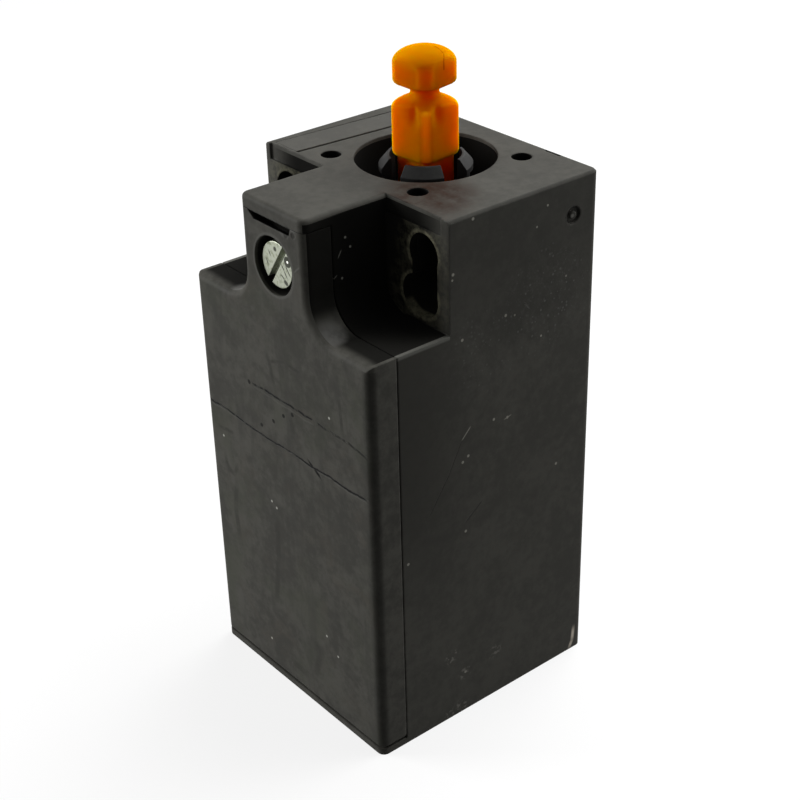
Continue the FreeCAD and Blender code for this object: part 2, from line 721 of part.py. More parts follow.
def plunger_seal():
    top = SEAL_BOTTOM + SEAL_HEIGHT
    return rod(GUIDE_BORE, 0, AXIS_Y, SEAL_BOTTOM, top).cut(
        rod(STEM_RADIUS + SEAL_CLEARANCE, 0, AXIS_Y, SEAL_BOTTOM, top))


# Contact block

def tongue_bottom(normally_closed):
    if normally_closed:
        return NC_BRIDGE_BOTTOM + BRIDGE_THICKNESS + 2 * TIP_THICKNESS + TIP_GAP
    return NO_BRIDGE_BOTTOM - NO_TRAVEL - 2 * TIP_THICKNESS - TIP_GAP - TERMINAL_SHEET


def tongue(normally_closed):
    bottom = tongue_bottom(normally_closed)
    front = AXIS_Y - TONGUE_HALF_DEPTH
    back = AXIS_Y + TONGUE_HALF_DEPTH
    return box(TONGUE_INNER, BLOCK_HALF, front, back, bottom, bottom + TERMINAL_SHEET)


def terminal(normally_closed):
    """Strip with a forked tab at the front, a leg along the side and a tongue inwards."""
    tab_z = NC_TAB_Z if normally_closed else NO_TAB_Z
    bottom = tongue_bottom(normally_closed)
    leg_bottom = bottom + TERMINAL_SHEET - LEG_HEIGHT if normally_closed else bottom
    front = BLOCK_FRONT - TERMINAL_SHEET
    back = AXIS_Y + TONGUE_HALF_DEPTH
    half_slot = TERMINAL_SCREW_RADIUS + TERMINAL_CLEARANCE
    slot_end = TERMINAL_SCREW_X + half_slot
    tab = box(TAB_INNER, BLOCK_HALF, front, BLOCK_FRONT, tab_z - TAB_HALF_HEIGHT, tab_z + TAB_HALF_HEIGHT)
    fork = box(TAB_INNER - PAST, slot_end, front - PAST, BLOCK_FRONT + PAST,
               tab_z - half_slot, tab_z + half_slot)
    leg = box(BLOCK_HALF - TERMINAL_SHEET, BLOCK_HALF, front, back, leg_bottom, leg_bottom + LEG_HEIGHT)
    return union([tab.cut(fork), leg, tongue(normally_closed)])


def block_side():
    outer = BLOCK_HALF - TERMINAL_SHEET
    top = GUIDE_PLATE_BOTTOM
    pillar = box(BLOCK_PILLAR_INNER, outer, BLOCK_FRONT, BLOCK_PILLAR_BACK, BLOCK_PILLAR_BOTTOM, top)
    wall = box(BLOCK_WALL_INNER, outer, BLOCK_PILLAR_BACK, BLOCK_BACK_FRONT, BLOCK_FLOOR_TOP, top)
    start = BLOCK_FRONT - PAST
    end = BLOCK_FRONT + TERMINAL_SCREW_LENGTH + TERMINAL_HOLE_END
    radius = TERMINAL_SCREW_RADIUS + TERMINAL_CLEARANCE
    holes = [bar(radius, TERMINAL_SCREW_X, z, start, end) for z in (NC_TAB_Z, NO_TAB_Z)]
    return pillar.fuse(wall).cut(holes + [tongue(True), tongue(False)])


def contact_base():
    inner = CARRIER_HALF + CARRIER_PLAY
    rib_front = AXIS_Y + BRIDGE_HALF_DEPTH + 2 * BRIDGE_PLAY
    floor_front = BLOCK_PILLAR_BACK - LID_THICKNESS
    floor = box(-BLOCK_HALF, BLOCK_HALF, floor_front, CHAMBER_BACK, BLOCK_FLOOR_BOTTOM, BLOCK_FLOOR_TOP)
    back = box(-BLOCK_HALF, BLOCK_HALF, BLOCK_BACK_FRONT, CHAMBER_BACK, BLOCK_FLOOR_BOTTOM, GUIDE_PLATE_BOTTOM)
    rib = box(inner, inner + GUIDE_RIB_WIDTH, rib_front, BLOCK_BACK_FRONT, BLOCK_FLOOR_TOP, GUIDE_PLATE_BOTTOM)
    spigot = rod(SPIGOT_RADIUS, 0, AXIS_Y, BLOCK_FLOOR_TOP, BLOCK_FLOOR_TOP + SPIGOT_HEIGHT)
    return union([floor, back, spigot] + both_sides(rib) + both_sides(block_side()))


def contact_lid():
    half = BLOCK_PILLAR_INNER
    inner = CARRIER_HALF + CARRIER_PLAY
    back = BLOCK_PILLAR_BACK
    plate = box(-half, half, back - LID_THICKNESS, back, BLOCK_FLOOR_TOP, GUIDE_PLATE_BOTTOM)
    rib = box(inner, half, back, back + LID_RIB_DEPTH, BLOCK_FLOOR_TOP, GUIDE_PLATE_BOTTOM)
    return union([plate] + both_sides(rib))


def contact_carrier():
    front = AXIS_Y - CARRIER_HALF_DEPTH
    back = AXIS_Y + CARRIER_HALF_DEPTH
    side = CARRIER_HALF + PAST
    half = BRIDGE_HALF_DEPTH + BRIDGE_PLAY
    body = box(-CARRIER_HALF, CARRIER_HALF, front, back, CARRIER_BOTTOM, CARRIER_TOP)
    return body.cut([
        box(-side, side, AXIS_Y - half, AXIS_Y + half, NC_WINDOW_BOTTOM, NC_WINDOW_TOP),
        box(-side, side, AXIS_Y - half, AXIS_Y + half, NO_WINDOW_BOTTOM, NO_WINDOW_TOP),
        rod(STEM_RADIUS, 0, AXIS_Y, STEM_BOTTOM, CARRIER_TOP + PAST),
    ])


def bridge(bottom):
    front = AXIS_Y - BRIDGE_HALF_DEPTH
    back = AXIS_Y + BRIDGE_HALF_DEPTH
    return box(-BRIDGE_HALF, BRIDGE_HALF, front, back, bottom, bottom + BRIDGE_THICKNESS)


def tip_pair(bottom):
    tip = box(BRIDGE_TIP_X - TIP_HALF, BRIDGE_TIP_X + TIP_HALF, AXIS_Y - TIP_HALF, AXIS_Y + TIP_HALF,
              bottom, bottom + TIP_THICKNESS)
    return Part.makeCompound(both_sides(tip))


def fixed_tips():
    closed_pair = tip_pair(tongue_bottom(True) - TIP_THICKNESS)
    open_pair = tip_pair(tongue_bottom(False) + TERMINAL_SHEET)
    return Part.makeCompound([closed_pair, open_pair])


def terminal_screw(x, z):
    seat = BLOCK_FRONT - TERMINAL_SHEET - CLAMP_THICKNESS
    front = seat - TERMINAL_HEAD_HEIGHT
    head = bar(TERMINAL_HEAD_RADIUS, x, z, front, seat)
    shank = bar(TERMINAL_SCREW_RADIUS, x, z, seat, BLOCK_FRONT + TERMINAL_SCREW_LENGTH)
    slot = screw_slot(TERMINAL_HEAD_RADIUS, TERMINAL_SLOT, TERMINAL_SLOT_DEPTH, x, z, front, TERMINAL_SLOT_TILT)
    return union([head, shank]).cut(slot)


def clamp_plate(x, z):
    """Square plate under a screw's head, open at the top."""
    back = BLOCK_FRONT - TERMINAL_SHEET
    front = back - CLAMP_THICKNESS
    half_slot = TERMINAL_SCREW_RADIUS + TERMINAL_CLEARANCE
    top = z + CLAMP_HALF
    plate = box(x - CLAMP_HALF, x + CLAMP_HALF, front, back, z - CLAMP_HALF, top)
    slot = box(x - half_slot, x + half_slot, front - PAST, back + PAST, z - half_slot, top + PAST)
    return plate.cut(slot)


def at_terminals(make):
    places = [(side * TERMINAL_SCREW_X, z) for z in (NC_TAB_Z, NO_TAB_Z) for side in (-1, 1)]
    return Part.makeCompound([make(x, z) for x, z in places])


def return_spring():
    return coil(RETURN_SPRING_RADIUS, RETURN_SPRING_WIRE, RETURN_SPRING_TURNS, BLOCK_FLOOR_TOP, CARRIER_BOTTOM)


def contact_spring(z0, z1):
    return coil(CONTACT_SPRING_RADIUS, CONTACT_SPRING_WIRE, CONTACT_SPRING_TURNS, z0, z1)


# Nodes

def nodes():
    nc_terminal = both_sides(terminal(True))
    no_terminal = both_sides(terminal(False))
    return {
        "housing": housing(),
        "top_strip": top_strip(),
        "front_cover": front_cover(),
        "cover_gasket": cover_gasket(),
        "cover_screw": cover_screw(),
        "screw_washer": screw_washer(),
        "screw_insert": screw_insert(),
        "plunger": plunger(),
        "plunger_guide": plunger_guide(),
        "plunger_seal": plunger_seal(),
        "contact_base": contact_base(),
        "contact_lid": contact_lid(),
        "contact_carrier": contact_carrier(),
        "return_spring": return_spring(),
        "nc_bridge": bridge(NC_BRIDGE_BOTTOM),
        "nc_bridge_tips": tip_pair(NC_BRIDGE_BOTTOM + BRIDGE_THICKNESS),
        "nc_spring": contact_spring(NC_WINDOW_BOTTOM, NC_BRIDGE_BOTTOM),
        "no_bridge": bridge(NO_BRIDGE_BOTTOM),
        "no_bridge_tips": tip_pair(NO_BRIDGE_BOTTOM - TIP_THICKNESS),
        "no_spring": contact_spring(NO_BRIDGE_BOTTOM + BRIDGE_THICKNESS, NO_WINDOW_TOP),
        "nc_terminal_right": nc_terminal[0],
        "nc_terminal_left": nc_terminal[1],
        "no_terminal_right": no_terminal[0],
        "no_terminal_left": no_terminal[1],
        "fixed_tips": fixed_tips(),
        "terminal_screws": at_terminals(terminal_screw),
        "clamp_plates": at_terminals(clamp_plate),
    }


def main():
    os.makedirs("parts", exist_ok=True)
    for name, shape in nodes().items():
        shape.exportStep(f"parts/{name}.step")


main()
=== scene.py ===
"""Looks of a door position switch: a worn black housing with an orange plunger in an open seat."""

import functools
import logging
import math
from dataclasses import dataclass
from enum import Enum
from typing import Any, Iterable, Union

import bmesh
import bpy
from mathutils import Matrix, Vector


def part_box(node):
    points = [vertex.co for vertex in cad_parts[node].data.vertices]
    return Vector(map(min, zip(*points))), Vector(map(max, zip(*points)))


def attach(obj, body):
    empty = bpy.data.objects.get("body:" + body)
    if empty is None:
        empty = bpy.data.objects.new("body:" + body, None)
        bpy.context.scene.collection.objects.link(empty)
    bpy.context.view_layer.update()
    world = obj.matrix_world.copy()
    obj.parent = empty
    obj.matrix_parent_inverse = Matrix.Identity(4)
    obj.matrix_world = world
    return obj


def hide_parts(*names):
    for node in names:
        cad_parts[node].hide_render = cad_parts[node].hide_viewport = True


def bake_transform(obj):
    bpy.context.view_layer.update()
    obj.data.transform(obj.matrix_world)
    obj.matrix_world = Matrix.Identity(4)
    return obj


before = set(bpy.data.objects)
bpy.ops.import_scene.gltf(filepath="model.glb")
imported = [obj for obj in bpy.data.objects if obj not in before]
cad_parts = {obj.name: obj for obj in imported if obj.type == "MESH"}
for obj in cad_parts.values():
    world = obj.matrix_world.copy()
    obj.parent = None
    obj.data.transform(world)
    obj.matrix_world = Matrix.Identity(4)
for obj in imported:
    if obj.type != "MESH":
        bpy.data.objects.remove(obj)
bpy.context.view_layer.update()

log = logging.getLogger("door_switch")

MM = 0.001

Number = Union[float, "Shade"]
Point = tuple[float, float]
Triple = tuple[float, float, float]


def mm(*values: float) -> tuple[float, ...]:
    """Millimetres as metres."""
    return tuple(value * MM for value in values)


def box_mm(node: str) -> list[list[float]]:
    """Lowest and highest corner of a CAD node, in millimetres."""
    return [[value / MM for value in corner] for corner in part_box(node)]


def middle(node: str, axis: int) -> float:
    """Middle of a CAD node along one axis, in millimetres."""
    low, high = box_mm(node)
    return (low[axis] + high[axis]) / 2


# Places in the part's frame, in millimetres
(_, FRONT, _), (HALF_WIDTH, BACK, HEIGHT) = box_mm("housing")
COVER_FOOT = box_mm("front_cover")[0][2]
AXIS_Y = middle("plunger", 1)
SCREW_HEIGHT = middle("screw_insert", 2)
SHOULDER = 50.2
SHOULDER_BACK = -5.27
TOWER_HALF = 5.5
SOCKET_RADIUS = 7.83
SOCKET_DEPTH = 7.0

# How far below a face a mark on it still counts, in millimetres
FRONT_SKIN = 0.3
TOWER_SKIN = 0.3
SIDE_SKIN = 0.4
RIM_SKIN = 0.45

# Turn of the plunger in its guide, in degrees
PLUNGER_TURN = 6.0

# Distance under which two corners of a mesh are one, in metres
WELD = 1e-7

# Colours of dust and wear, and of painted highlights
SPECK = (0.4, 0.4, 0.36)
DUST = (0.32, 0.31, 0.27)
SCUFF = (0.3, 0.29, 0.26)
CHIPPED = (0.62, 0.56, 0.47)
GLINT = (0.22, 0.22, 0.2)
CRUMB = (0.2, 0.19, 0.16)
OLD_DUST = (0.3, 0.29, 0.2)
RIM_DUST = (0.42, 0.4, 0.27)
LIP_DUST = (0.4, 0.385, 0.26)
# pale edges: wear together with a painted highlight
EDGE_WEAR_AND_HIGHLIGHT = (0.15, 0.15, 0.135)
TOWER_SCRATCH = (0.28, 0.28, 0.25)
# a painted highlight
BEAD_HIGHLIGHT = (0.9, 0.9, 0.85)


class Body(Enum):
    """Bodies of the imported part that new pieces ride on."""

    BASE = "base"
    PLUNGER = "plunger"
    NC_BRIDGE = "nc_bridge"
    NO_BRIDGE = "no_bridge"
    SCREW = "cover_screw"


class Slot(Enum):
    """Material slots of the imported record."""

    BLACK = "black_plastic"
    ORANGE = "orange_plastic"
    STEEL = "plated_steel"
    SPRING = "spring_steel"


class Grit(Enum):
    """Detail and roughness of a noise."""

    PLAIN = (1.0, 0.5)
    SOFT = (2.0, 0.5)
    EVEN = (3.0, 0.6)
    CLOUDY = (4.0, 0.6)
    RAGGED = (4.0, 0.65)
    GRITTY = (4.0, 0.7)


@dataclass(frozen=True)
class Line:
    """A mark's full width and the points it runs through, in millimetres."""

    width: float
    points: tuple[Point, ...]


@dataclass(frozen=True)
class Spots:
    """Radius and places of round marks of one size, in millimetres."""

    radius: float
    places: tuple[Point, ...]


class Shade:
    """A number socket that adds Math nodes when it is used in an expression."""

    def __init__(self, graph: "Graph", socket: Any) -> None:
        """Keeps the socket and the graph it belongs to."""
        self.graph = graph
        self.socket = socket

    def _math(self, operation: str, first: Number, second: Number) -> "Shade":
        """One Math node on two numbers."""
        node = self.graph.node("ShaderNodeMath", {"operation": operation}, {0: first, 1: second})
        return Shade(self.graph, node.outputs[0])

    def __add__(self, other: Number) -> "Shade":
        """Sum."""
        return self._math("ADD", self, other)

    __radd__ = __add__

    def __sub__(self, other: Number) -> "Shade":
        """Difference."""
        return self._math("SUBTRACT", self, other)

    def __rsub__(self, other: Number) -> "Shade":
        """Difference the other way round."""
        return self._math("SUBTRACT", other, self)

    def __mul__(self, other: Number) -> "Shade":
        """Product."""
        return self._math("MULTIPLY", self, other)

    __rmul__ = __mul__

    def __abs__(self) -> "Shade":
        """Size without sign."""
        return self._math("ABSOLUTE", self, 0.0)

    def __gt__(self, other: Number) -> "Shade":
        """1 where this is larger."""
        return self._math("GREATER_THAN", self, other)

    def __lt__(self, other: Number) -> "Shade":
        """1 where this is smaller."""
        return self._math("LESS_THAN", self, other)

    def within(self, low: float, high: float) -> "Shade":
        """1 between two values."""
        return (self > low) * (self < high)

    def most(self, other: Number) -> "Shade":
        """The larger of two numbers."""
        return self._math("MAXIMUM", self, other)

    def rise(self, low: float, high: float) -> "Shade":
        """A soft step from 0 to 1.

        Args:
            low: value where the step starts.
            high: value where it ends; below low, the step falls.

        Returns:
            The stepped value.
        """
        turned = high < low
        ends = {"From Min": min(low, high), "From Max": max(low, high),
                "To Min": 1.0 if turned else 0.0, "To Max": 0.0 if turned else 1.0}
        settings = {"interpolation_type": "SMOOTHSTEP"}
        node = self.graph.node("ShaderNodeMapRange", settings, {"Value": self, **ends})
        return Shade(self.graph, node.outputs["Result"])


Face = tuple[Shade, Shade]


def largest(shades: Iterable[Shade]) -> Shade:
    """The largest of several masks."""
    return functools.reduce(Shade.most, shades)


def strongest(*parts: tuple[Shade, float]) -> Shade:
    """The largest of several masks, each times its own strength."""
    return largest(mask * strength for mask, strength in parts)


class Graph:
    """Emptied node tree, with the part's own coordinates in millimetres."""

    def __init__(self, tree: bpy.types.NodeTree, output: str) -> None:
        """Clears the tree and adds its output node.

        Args:
            tree: the node tree to clear.
            output: type of its output node.
        """
        self.tree = tree
        self.tree.nodes.clear()
        self.output = self.tree.nodes.new(output)
        self._place: Any = None
        self._axes: tuple[Shade, Shade, Shade] | None = None

    def surface(self, node: Any) -> None:
        """Links a shader node to the output."""
        self.tree.links.new(node.outputs[0], self.output.inputs["Surface"])

    def node(self, kind: str, settings: dict[str, Any] | None = None,
             inputs: dict[Any, Any] | None = None) -> Any:
        """Adds any node.

        Args:
            kind: the node's type.
            settings: attributes of the node, set before its sockets.
            inputs: socket name or index to a value, a socket or a Shade.

        Returns:
            The new node.
        """
        made = self.tree.nodes.new(kind)
        for key, value in (settings or {}).items():
            setattr(made, key, value)
        for key, value in (inputs or {}).items():
            self.feed(made.inputs[key], value)
        return made

    def feed(self, target: Any, value: Any) -> None:
        """Links or sets one input socket.

        Args:
            target: the input socket.
            value: a socket or a Shade to link, a value to set, or None to leave it.
        """
        if isinstance(value, Shade):
            self.tree.links.new(value.socket, target)
        elif isinstance(value, bpy.types.NodeSocket):
            self.tree.links.new(value, target)
        elif value is not None:
            target.default_value = value

    @property
    def place(self) -> Any:
        """Object coordinates in millimetres, as a vector socket.

        Returns:
            The vector's socket.
        """
        if self._place is None:
            raw = self.node("ShaderNodeTexCoord").outputs["Object"]
            sized = self.node("ShaderNodeVectorMath", {"operation": "SCALE"}, {0: raw, "Scale": 1.0 / MM})
            self._place = sized.outputs["Vector"]
        return self._place

    @property
    def axes(self) -> tuple[Shade, Shade, Shade]:
        """The three object coordinates in millimetres.

        Returns:
            Sideways, backward and upward distance.
        """
        if self._axes is None:
            split = self.node("ShaderNodeSeparateXYZ", None, {0: self.place})
            self._axes = tuple(Shade(self, split.outputs[i]) for i in range(3))
        return self._axes

    def turned(self, turn: Triple, stretch: Triple) -> Any:
        """Coordinates turned by degrees, then stretched.

        Args:
            turn: the three turns.
            stretch: factors along the three axes.

        Returns:
            The vector's socket.
        """
        rotation = tuple(math.radians(angle) for angle in turn)
        point = {"vector_type": "POINT"}
        first = self.node("ShaderNodeMapping", point, {"Vector": self.place, "Rotation": rotation})
        second = self.node("ShaderNodeMapping", point, {"Vector": first.outputs["Vector"], "Scale": stretch})
        return second.outputs["Vector"]

    def noise(self, size: float, grit: Grit = Grit.SOFT, place: Any = None, warp: float = 0.0) -> Shade:
        """Noise whose patches are about size millimetres across.

        Args:
            size: width of a patch in millimetres.
            grit: how fine and rough the noise is.
            place: coordinates in place of the part's own.
            warp: how far the noise is distorted.

        Returns:
            A value of about 0.5, between 0 and 1.
        """
        detail, rough = grit.value
        node = self.node("ShaderNodeTexNoise", None, {
            "Vector": place or self.place, "Scale": 1.0 / size, "Detail": detail, "Roughness": rough,
            "Distortion": warp})
        return Shade(self, node.outputs["Fac"])

    def specks(self, spacing: float, radius: float, share: float) -> Shade:
        """Round specks: one in some of the cells of a loose grid.

        Args:
            spacing: distance between cells in millimetres.
            radius: radius of a speck in millimetres.
            share: share of the cells that have one.

        Returns:
            1 on a speck, 0 elsewhere.
        """
        cells = self.node("ShaderNodeTexVoronoi", None, {"Vector": self.place, "Scale": 1.0 / spacing})
        distance = Shade(self, cells.outputs["Distance"])
        chance = self.node("ShaderNodeSeparateColor", None, {0: cells.outputs["Color"]})
        reach = radius / spacing
        least, soft = 0.3 * reach, 0.25 * reach
        size = Shade(self, chance.outputs[1]) * reach + least
        chosen = Shade(self, chance.outputs[0]) < share
        return (distance - size).rise(soft, -soft) * chosen

    def hairlines(self, turn: Triple, gap: float, length: float, share: float) -> Shade:
        """Thin scratches along one direction, in patches.

        Args:
            turn: the direction, as three turns in degrees.
            gap: distance between scratches in millimetres.
            length: length of a scratch in millimetres.
            share: share of the surface that has them.

        Returns:
            1 on a scratch, 0 elsewhere.
        """
        thin, soft = 0.002, 0.08
        wave = self.noise(gap, Grit.PLAIN, self.turned(turn, (1.0, gap / length, 1.0)), warp=0.4)
        patch = self.noise(length).rise(1.0 - share, 1.0 + soft - share)
        return abs(wave - 0.5).rise(3 * thin, thin) * patch

    def stroke(self, face: Face, start: Point, end: Point, width: float) -> Shade:
        """Straight mark on a flat face.

        Args:
            face: the face's two coordinates.
            start: where the mark starts, in millimetres.
            end: where it ends.
            width: its full width.

        Returns:
            1 along the mark, 0 away from it.
        """
        length = math.dist(start, end)
        across = (end[0] - start[0]) / length
        up = (end[1] - start[1]) / length
        first = face[0] - start[0]
        second = face[1] - start[1]
        along = first * across + second * up
        aside = abs(first * up - second * across)
        ends = along.rise(-width, width) * along.rise(length + width, length - width)
        return aside.rise(0.5 * width, 0.15 * width) * ends

    def lines(self, face: Face, *lines: Line) -> Shade:
        """Marks that follow one another from point to point."""
        return largest(self.stroke(face, start, end, line.width)
                       for line in lines for start, end in zip(line.points, line.points[1:]))

    def spots(self, face: Face, spots: Spots) -> Shade:
        """Round spots that are full at their middle."""
        square, core = spots.radius ** 2, 0.2
        return largest(self.from_place(face, place).rise(square, core * square) for place in spots.places)

    def disc(self, face: Face, place: Point, radius: float, soft: float) -> Shade:
        """Filled circle that fades out over soft millimetres beyond its radius."""
        return self.from_place(face, place).rise((radius + soft) ** 2, radius ** 2)

    @staticmethod
    def from_place(face: Face, place: Point) -> Shade:
        """Square of the distance from a place on a face.

        Args:
            face: the face's two coordinates.
            place: the place, in millimetres.

        Returns:
            The square in square millimetres.
        """
        first = face[0] - place[0]
        second = face[1] - place[1]
        return first * first + second * second

    def edge(self, radius: float) -> tuple[Any, Shade]:
        """Normal rounded over the edges, and how near an edge is.

        Args:
            radius: radius of the rounding in millimetres.

        Returns:
            The rounded normal's socket, and a mask that is 1 on edges.
        """
        rounded = self.node("ShaderNodeBevel", {"samples": 6}, {"Radius": radius * MM}).outputs["Normal"]
        flat = self.node("ShaderNodeNewGeometry").outputs["Normal"]
        agree = self.node("ShaderNodeVectorMath", {"operation": "DOT_PRODUCT"}, {0: rounded, 1: flat})
        return rounded, (1.0 - Shade(self, agree.outputs["Value"])).rise(0.015, 0.22)

    def mix(self, factor: Number, first: Any, second: Any) -> Any:
        """Colour between two colours."""
        colours = {6: self._colour(first), 7: self._colour(second)}
        return self.node("ShaderNodeMix", {"data_type": "RGBA"}, {0: factor, **colours}).outputs[2]

    @staticmethod
    def _colour(value: Any) -> Any:
        """A colour tuple with its alpha, or the socket as it is."""
        return (*value, 1.0) if isinstance(value, tuple) and len(value) == 3 else value

    def bump(self, height: Shade, depth: float, normal: Any = None) -> Any:
        """Normal bent by a height field of the given depth in millimetres."""
        inputs = {"Strength": 1.0, "Distance": depth * MM, "Height": height, "Normal": normal}
        return self.node("ShaderNodeBump", None, inputs).outputs["Normal"]


class Paint(Graph):
    """Material of one principled shader whose colour, roughness and height are built up in layers."""

    def __init__(self, name: str, colour: Any, rough: Number, radius: float) -> None:
        """Starts a material.

        Args:
            name: the material's name.
            colour: the colour before any layer.
            rough: the roughness before any layer.
            radius: how far edges look rounded, in millimetres.
        """
        self.material = bpy.data.materials.new(name)
        self.material.use_nodes = True
        super().__init__(self.material.node_tree, "ShaderNodeOutputMaterial")
        self.colour = self._colour(colour)
        self.rough = rough
        self.height: Shade | None = None
        self.rounded, self.near_edge = self.edge(radius)

    def tint(self, mask: Shade, colour: Any, strength: float = 1.0) -> None:
        """Lays a colour over the last one, as strong as the mask times the strength."""
        factor = mask if strength == 1.0 else mask * strength
        self.colour = self.mix(factor, self.colour, colour)

    def dull(self, mask: Shade, amount: float) -> None:
        """Adds to the roughness where the mask is."""
        self.rough = mask * amount + self.rough

    def raised(self, mask: Shade, amount: float) -> None:
        """Raises the surface by millimetres where the mask is, or sinks it where the amount is below 0."""
        step = mask * amount
        self.height = step if self.height is None else self.height + step

    def finish(self, **constants: float | tuple[float, ...]) -> bpy.types.Material:
        """Feeds the shader.

        Args:
            constants: sockets that are the same all over, by name with _ for a space.

        Returns:
            The material.
        """
        normal = self.rounded if self.height is None else self.bump(self.height, 1.0, self.rounded)
        shader = self.node("ShaderNodeBsdfPrincipled", None, {
            "Base Color": self.colour, "Roughness": self.rough, "Normal": normal})
        for name, value in constants.items():
            shader.inputs[name.replace("_", " ")].default_value = value
        self.surface(shader)
        return self.material


@dataclass(frozen=True)
class Finish:
    """Name and colour of a material, with the shades that its layers are made of."""

    name: str
    colour: Triple

    def times(self, *factors: float) -> Triple:
        """The colour times one factor, or each of its parts times its own."""
        return tuple(min(1.0, part * factor) for part, factor in zip(self.colour, factors * 3))

    def plus(self, step: float) -> Triple:
        """The colour with a step added to each of its parts."""
        return tuple(part + step for part in self.colour)

    def marks(self, paint: Paint) -> None:
        """Marks of one piece alone: none on a plain finish."""

    def make(self) -> bpy.types.Material:
        """The finished material, which each kind of finish makes in its own way."""
        raise NotImplementedError


@dataclass(frozen=True)
class MouldedPlastic(Finish):
    """Satin moulded plastic with grain, handling marks, dust and worn edges."""

    rough: float = 0.55
    gloss: float = 0.08
    grain: float = 0.004
    grain_size: float = 0.22
    cloud: float = 0.14
    cloud_size: float = 8.0
    mottle_size: float = 1.4
    dust: float = 0.05
    scratch: float = 0.3
    edge_radius: float = 0.2
    edge_pale: float = 0.5

    def base(self) -> Paint:
        """The plain moulding, before any marks of its own.

        Returns:
            The material so far.
        """
        paint = Paint(self.name, self.times(1.0 - self.cloud), self.rough, self.edge_radius)
        wide = paint.noise(self.cloud_size, Grit.CLOUDY, warp=0.5)
        cloud = wide * 0.5 + paint.noise(self.mottle_size, Grit.GRITTY) * 0.5
        paint.tint(cloud.rise(0.38, 0.62), self.times(1.0 + self.cloud))
        paint.dull(cloud - 0.5, 0.2)
        paint.raised(paint.noise(self.grain_size, Grit.EVEN), self.grain)
        self.wear(paint)
        return paint

    def wear(self, paint: Paint) -> None:
        """Dust specks, fine scratches and paler edges.

        Args:
            paint: the material being painted.
        """
        broken = paint.noise(self.mottle_size, Grit.EVEN).rise(0.4, 0.66)
        worn = paint.near_edge * broken * self.edge_pale
        lines = paint.hairlines((0, 0, 0), gap=1.2, length=9.0, share=self.scratch).most(
            paint.hairlines((35, 20, 50), gap=1.0, length=7.0, share=self.scratch))
        specks = paint.specks(spacing=1.6, radius=0.1, share=self.dust)
        paint.tint(strongest((worn, 0.3), (specks, 0.7), (lines, 0.08)), self.plus(0.14))
        paint.dull(specks.most(lines), 0.12)
        paint.raised(lines, -0.002)

    def make(self) -> bpy.types.Material:
        """The finished material.

        Returns:
            The material.
        """
        paint = self.base()
        self.marks(paint)
        return paint.finish(Specular_IOR_Level=self.gloss)


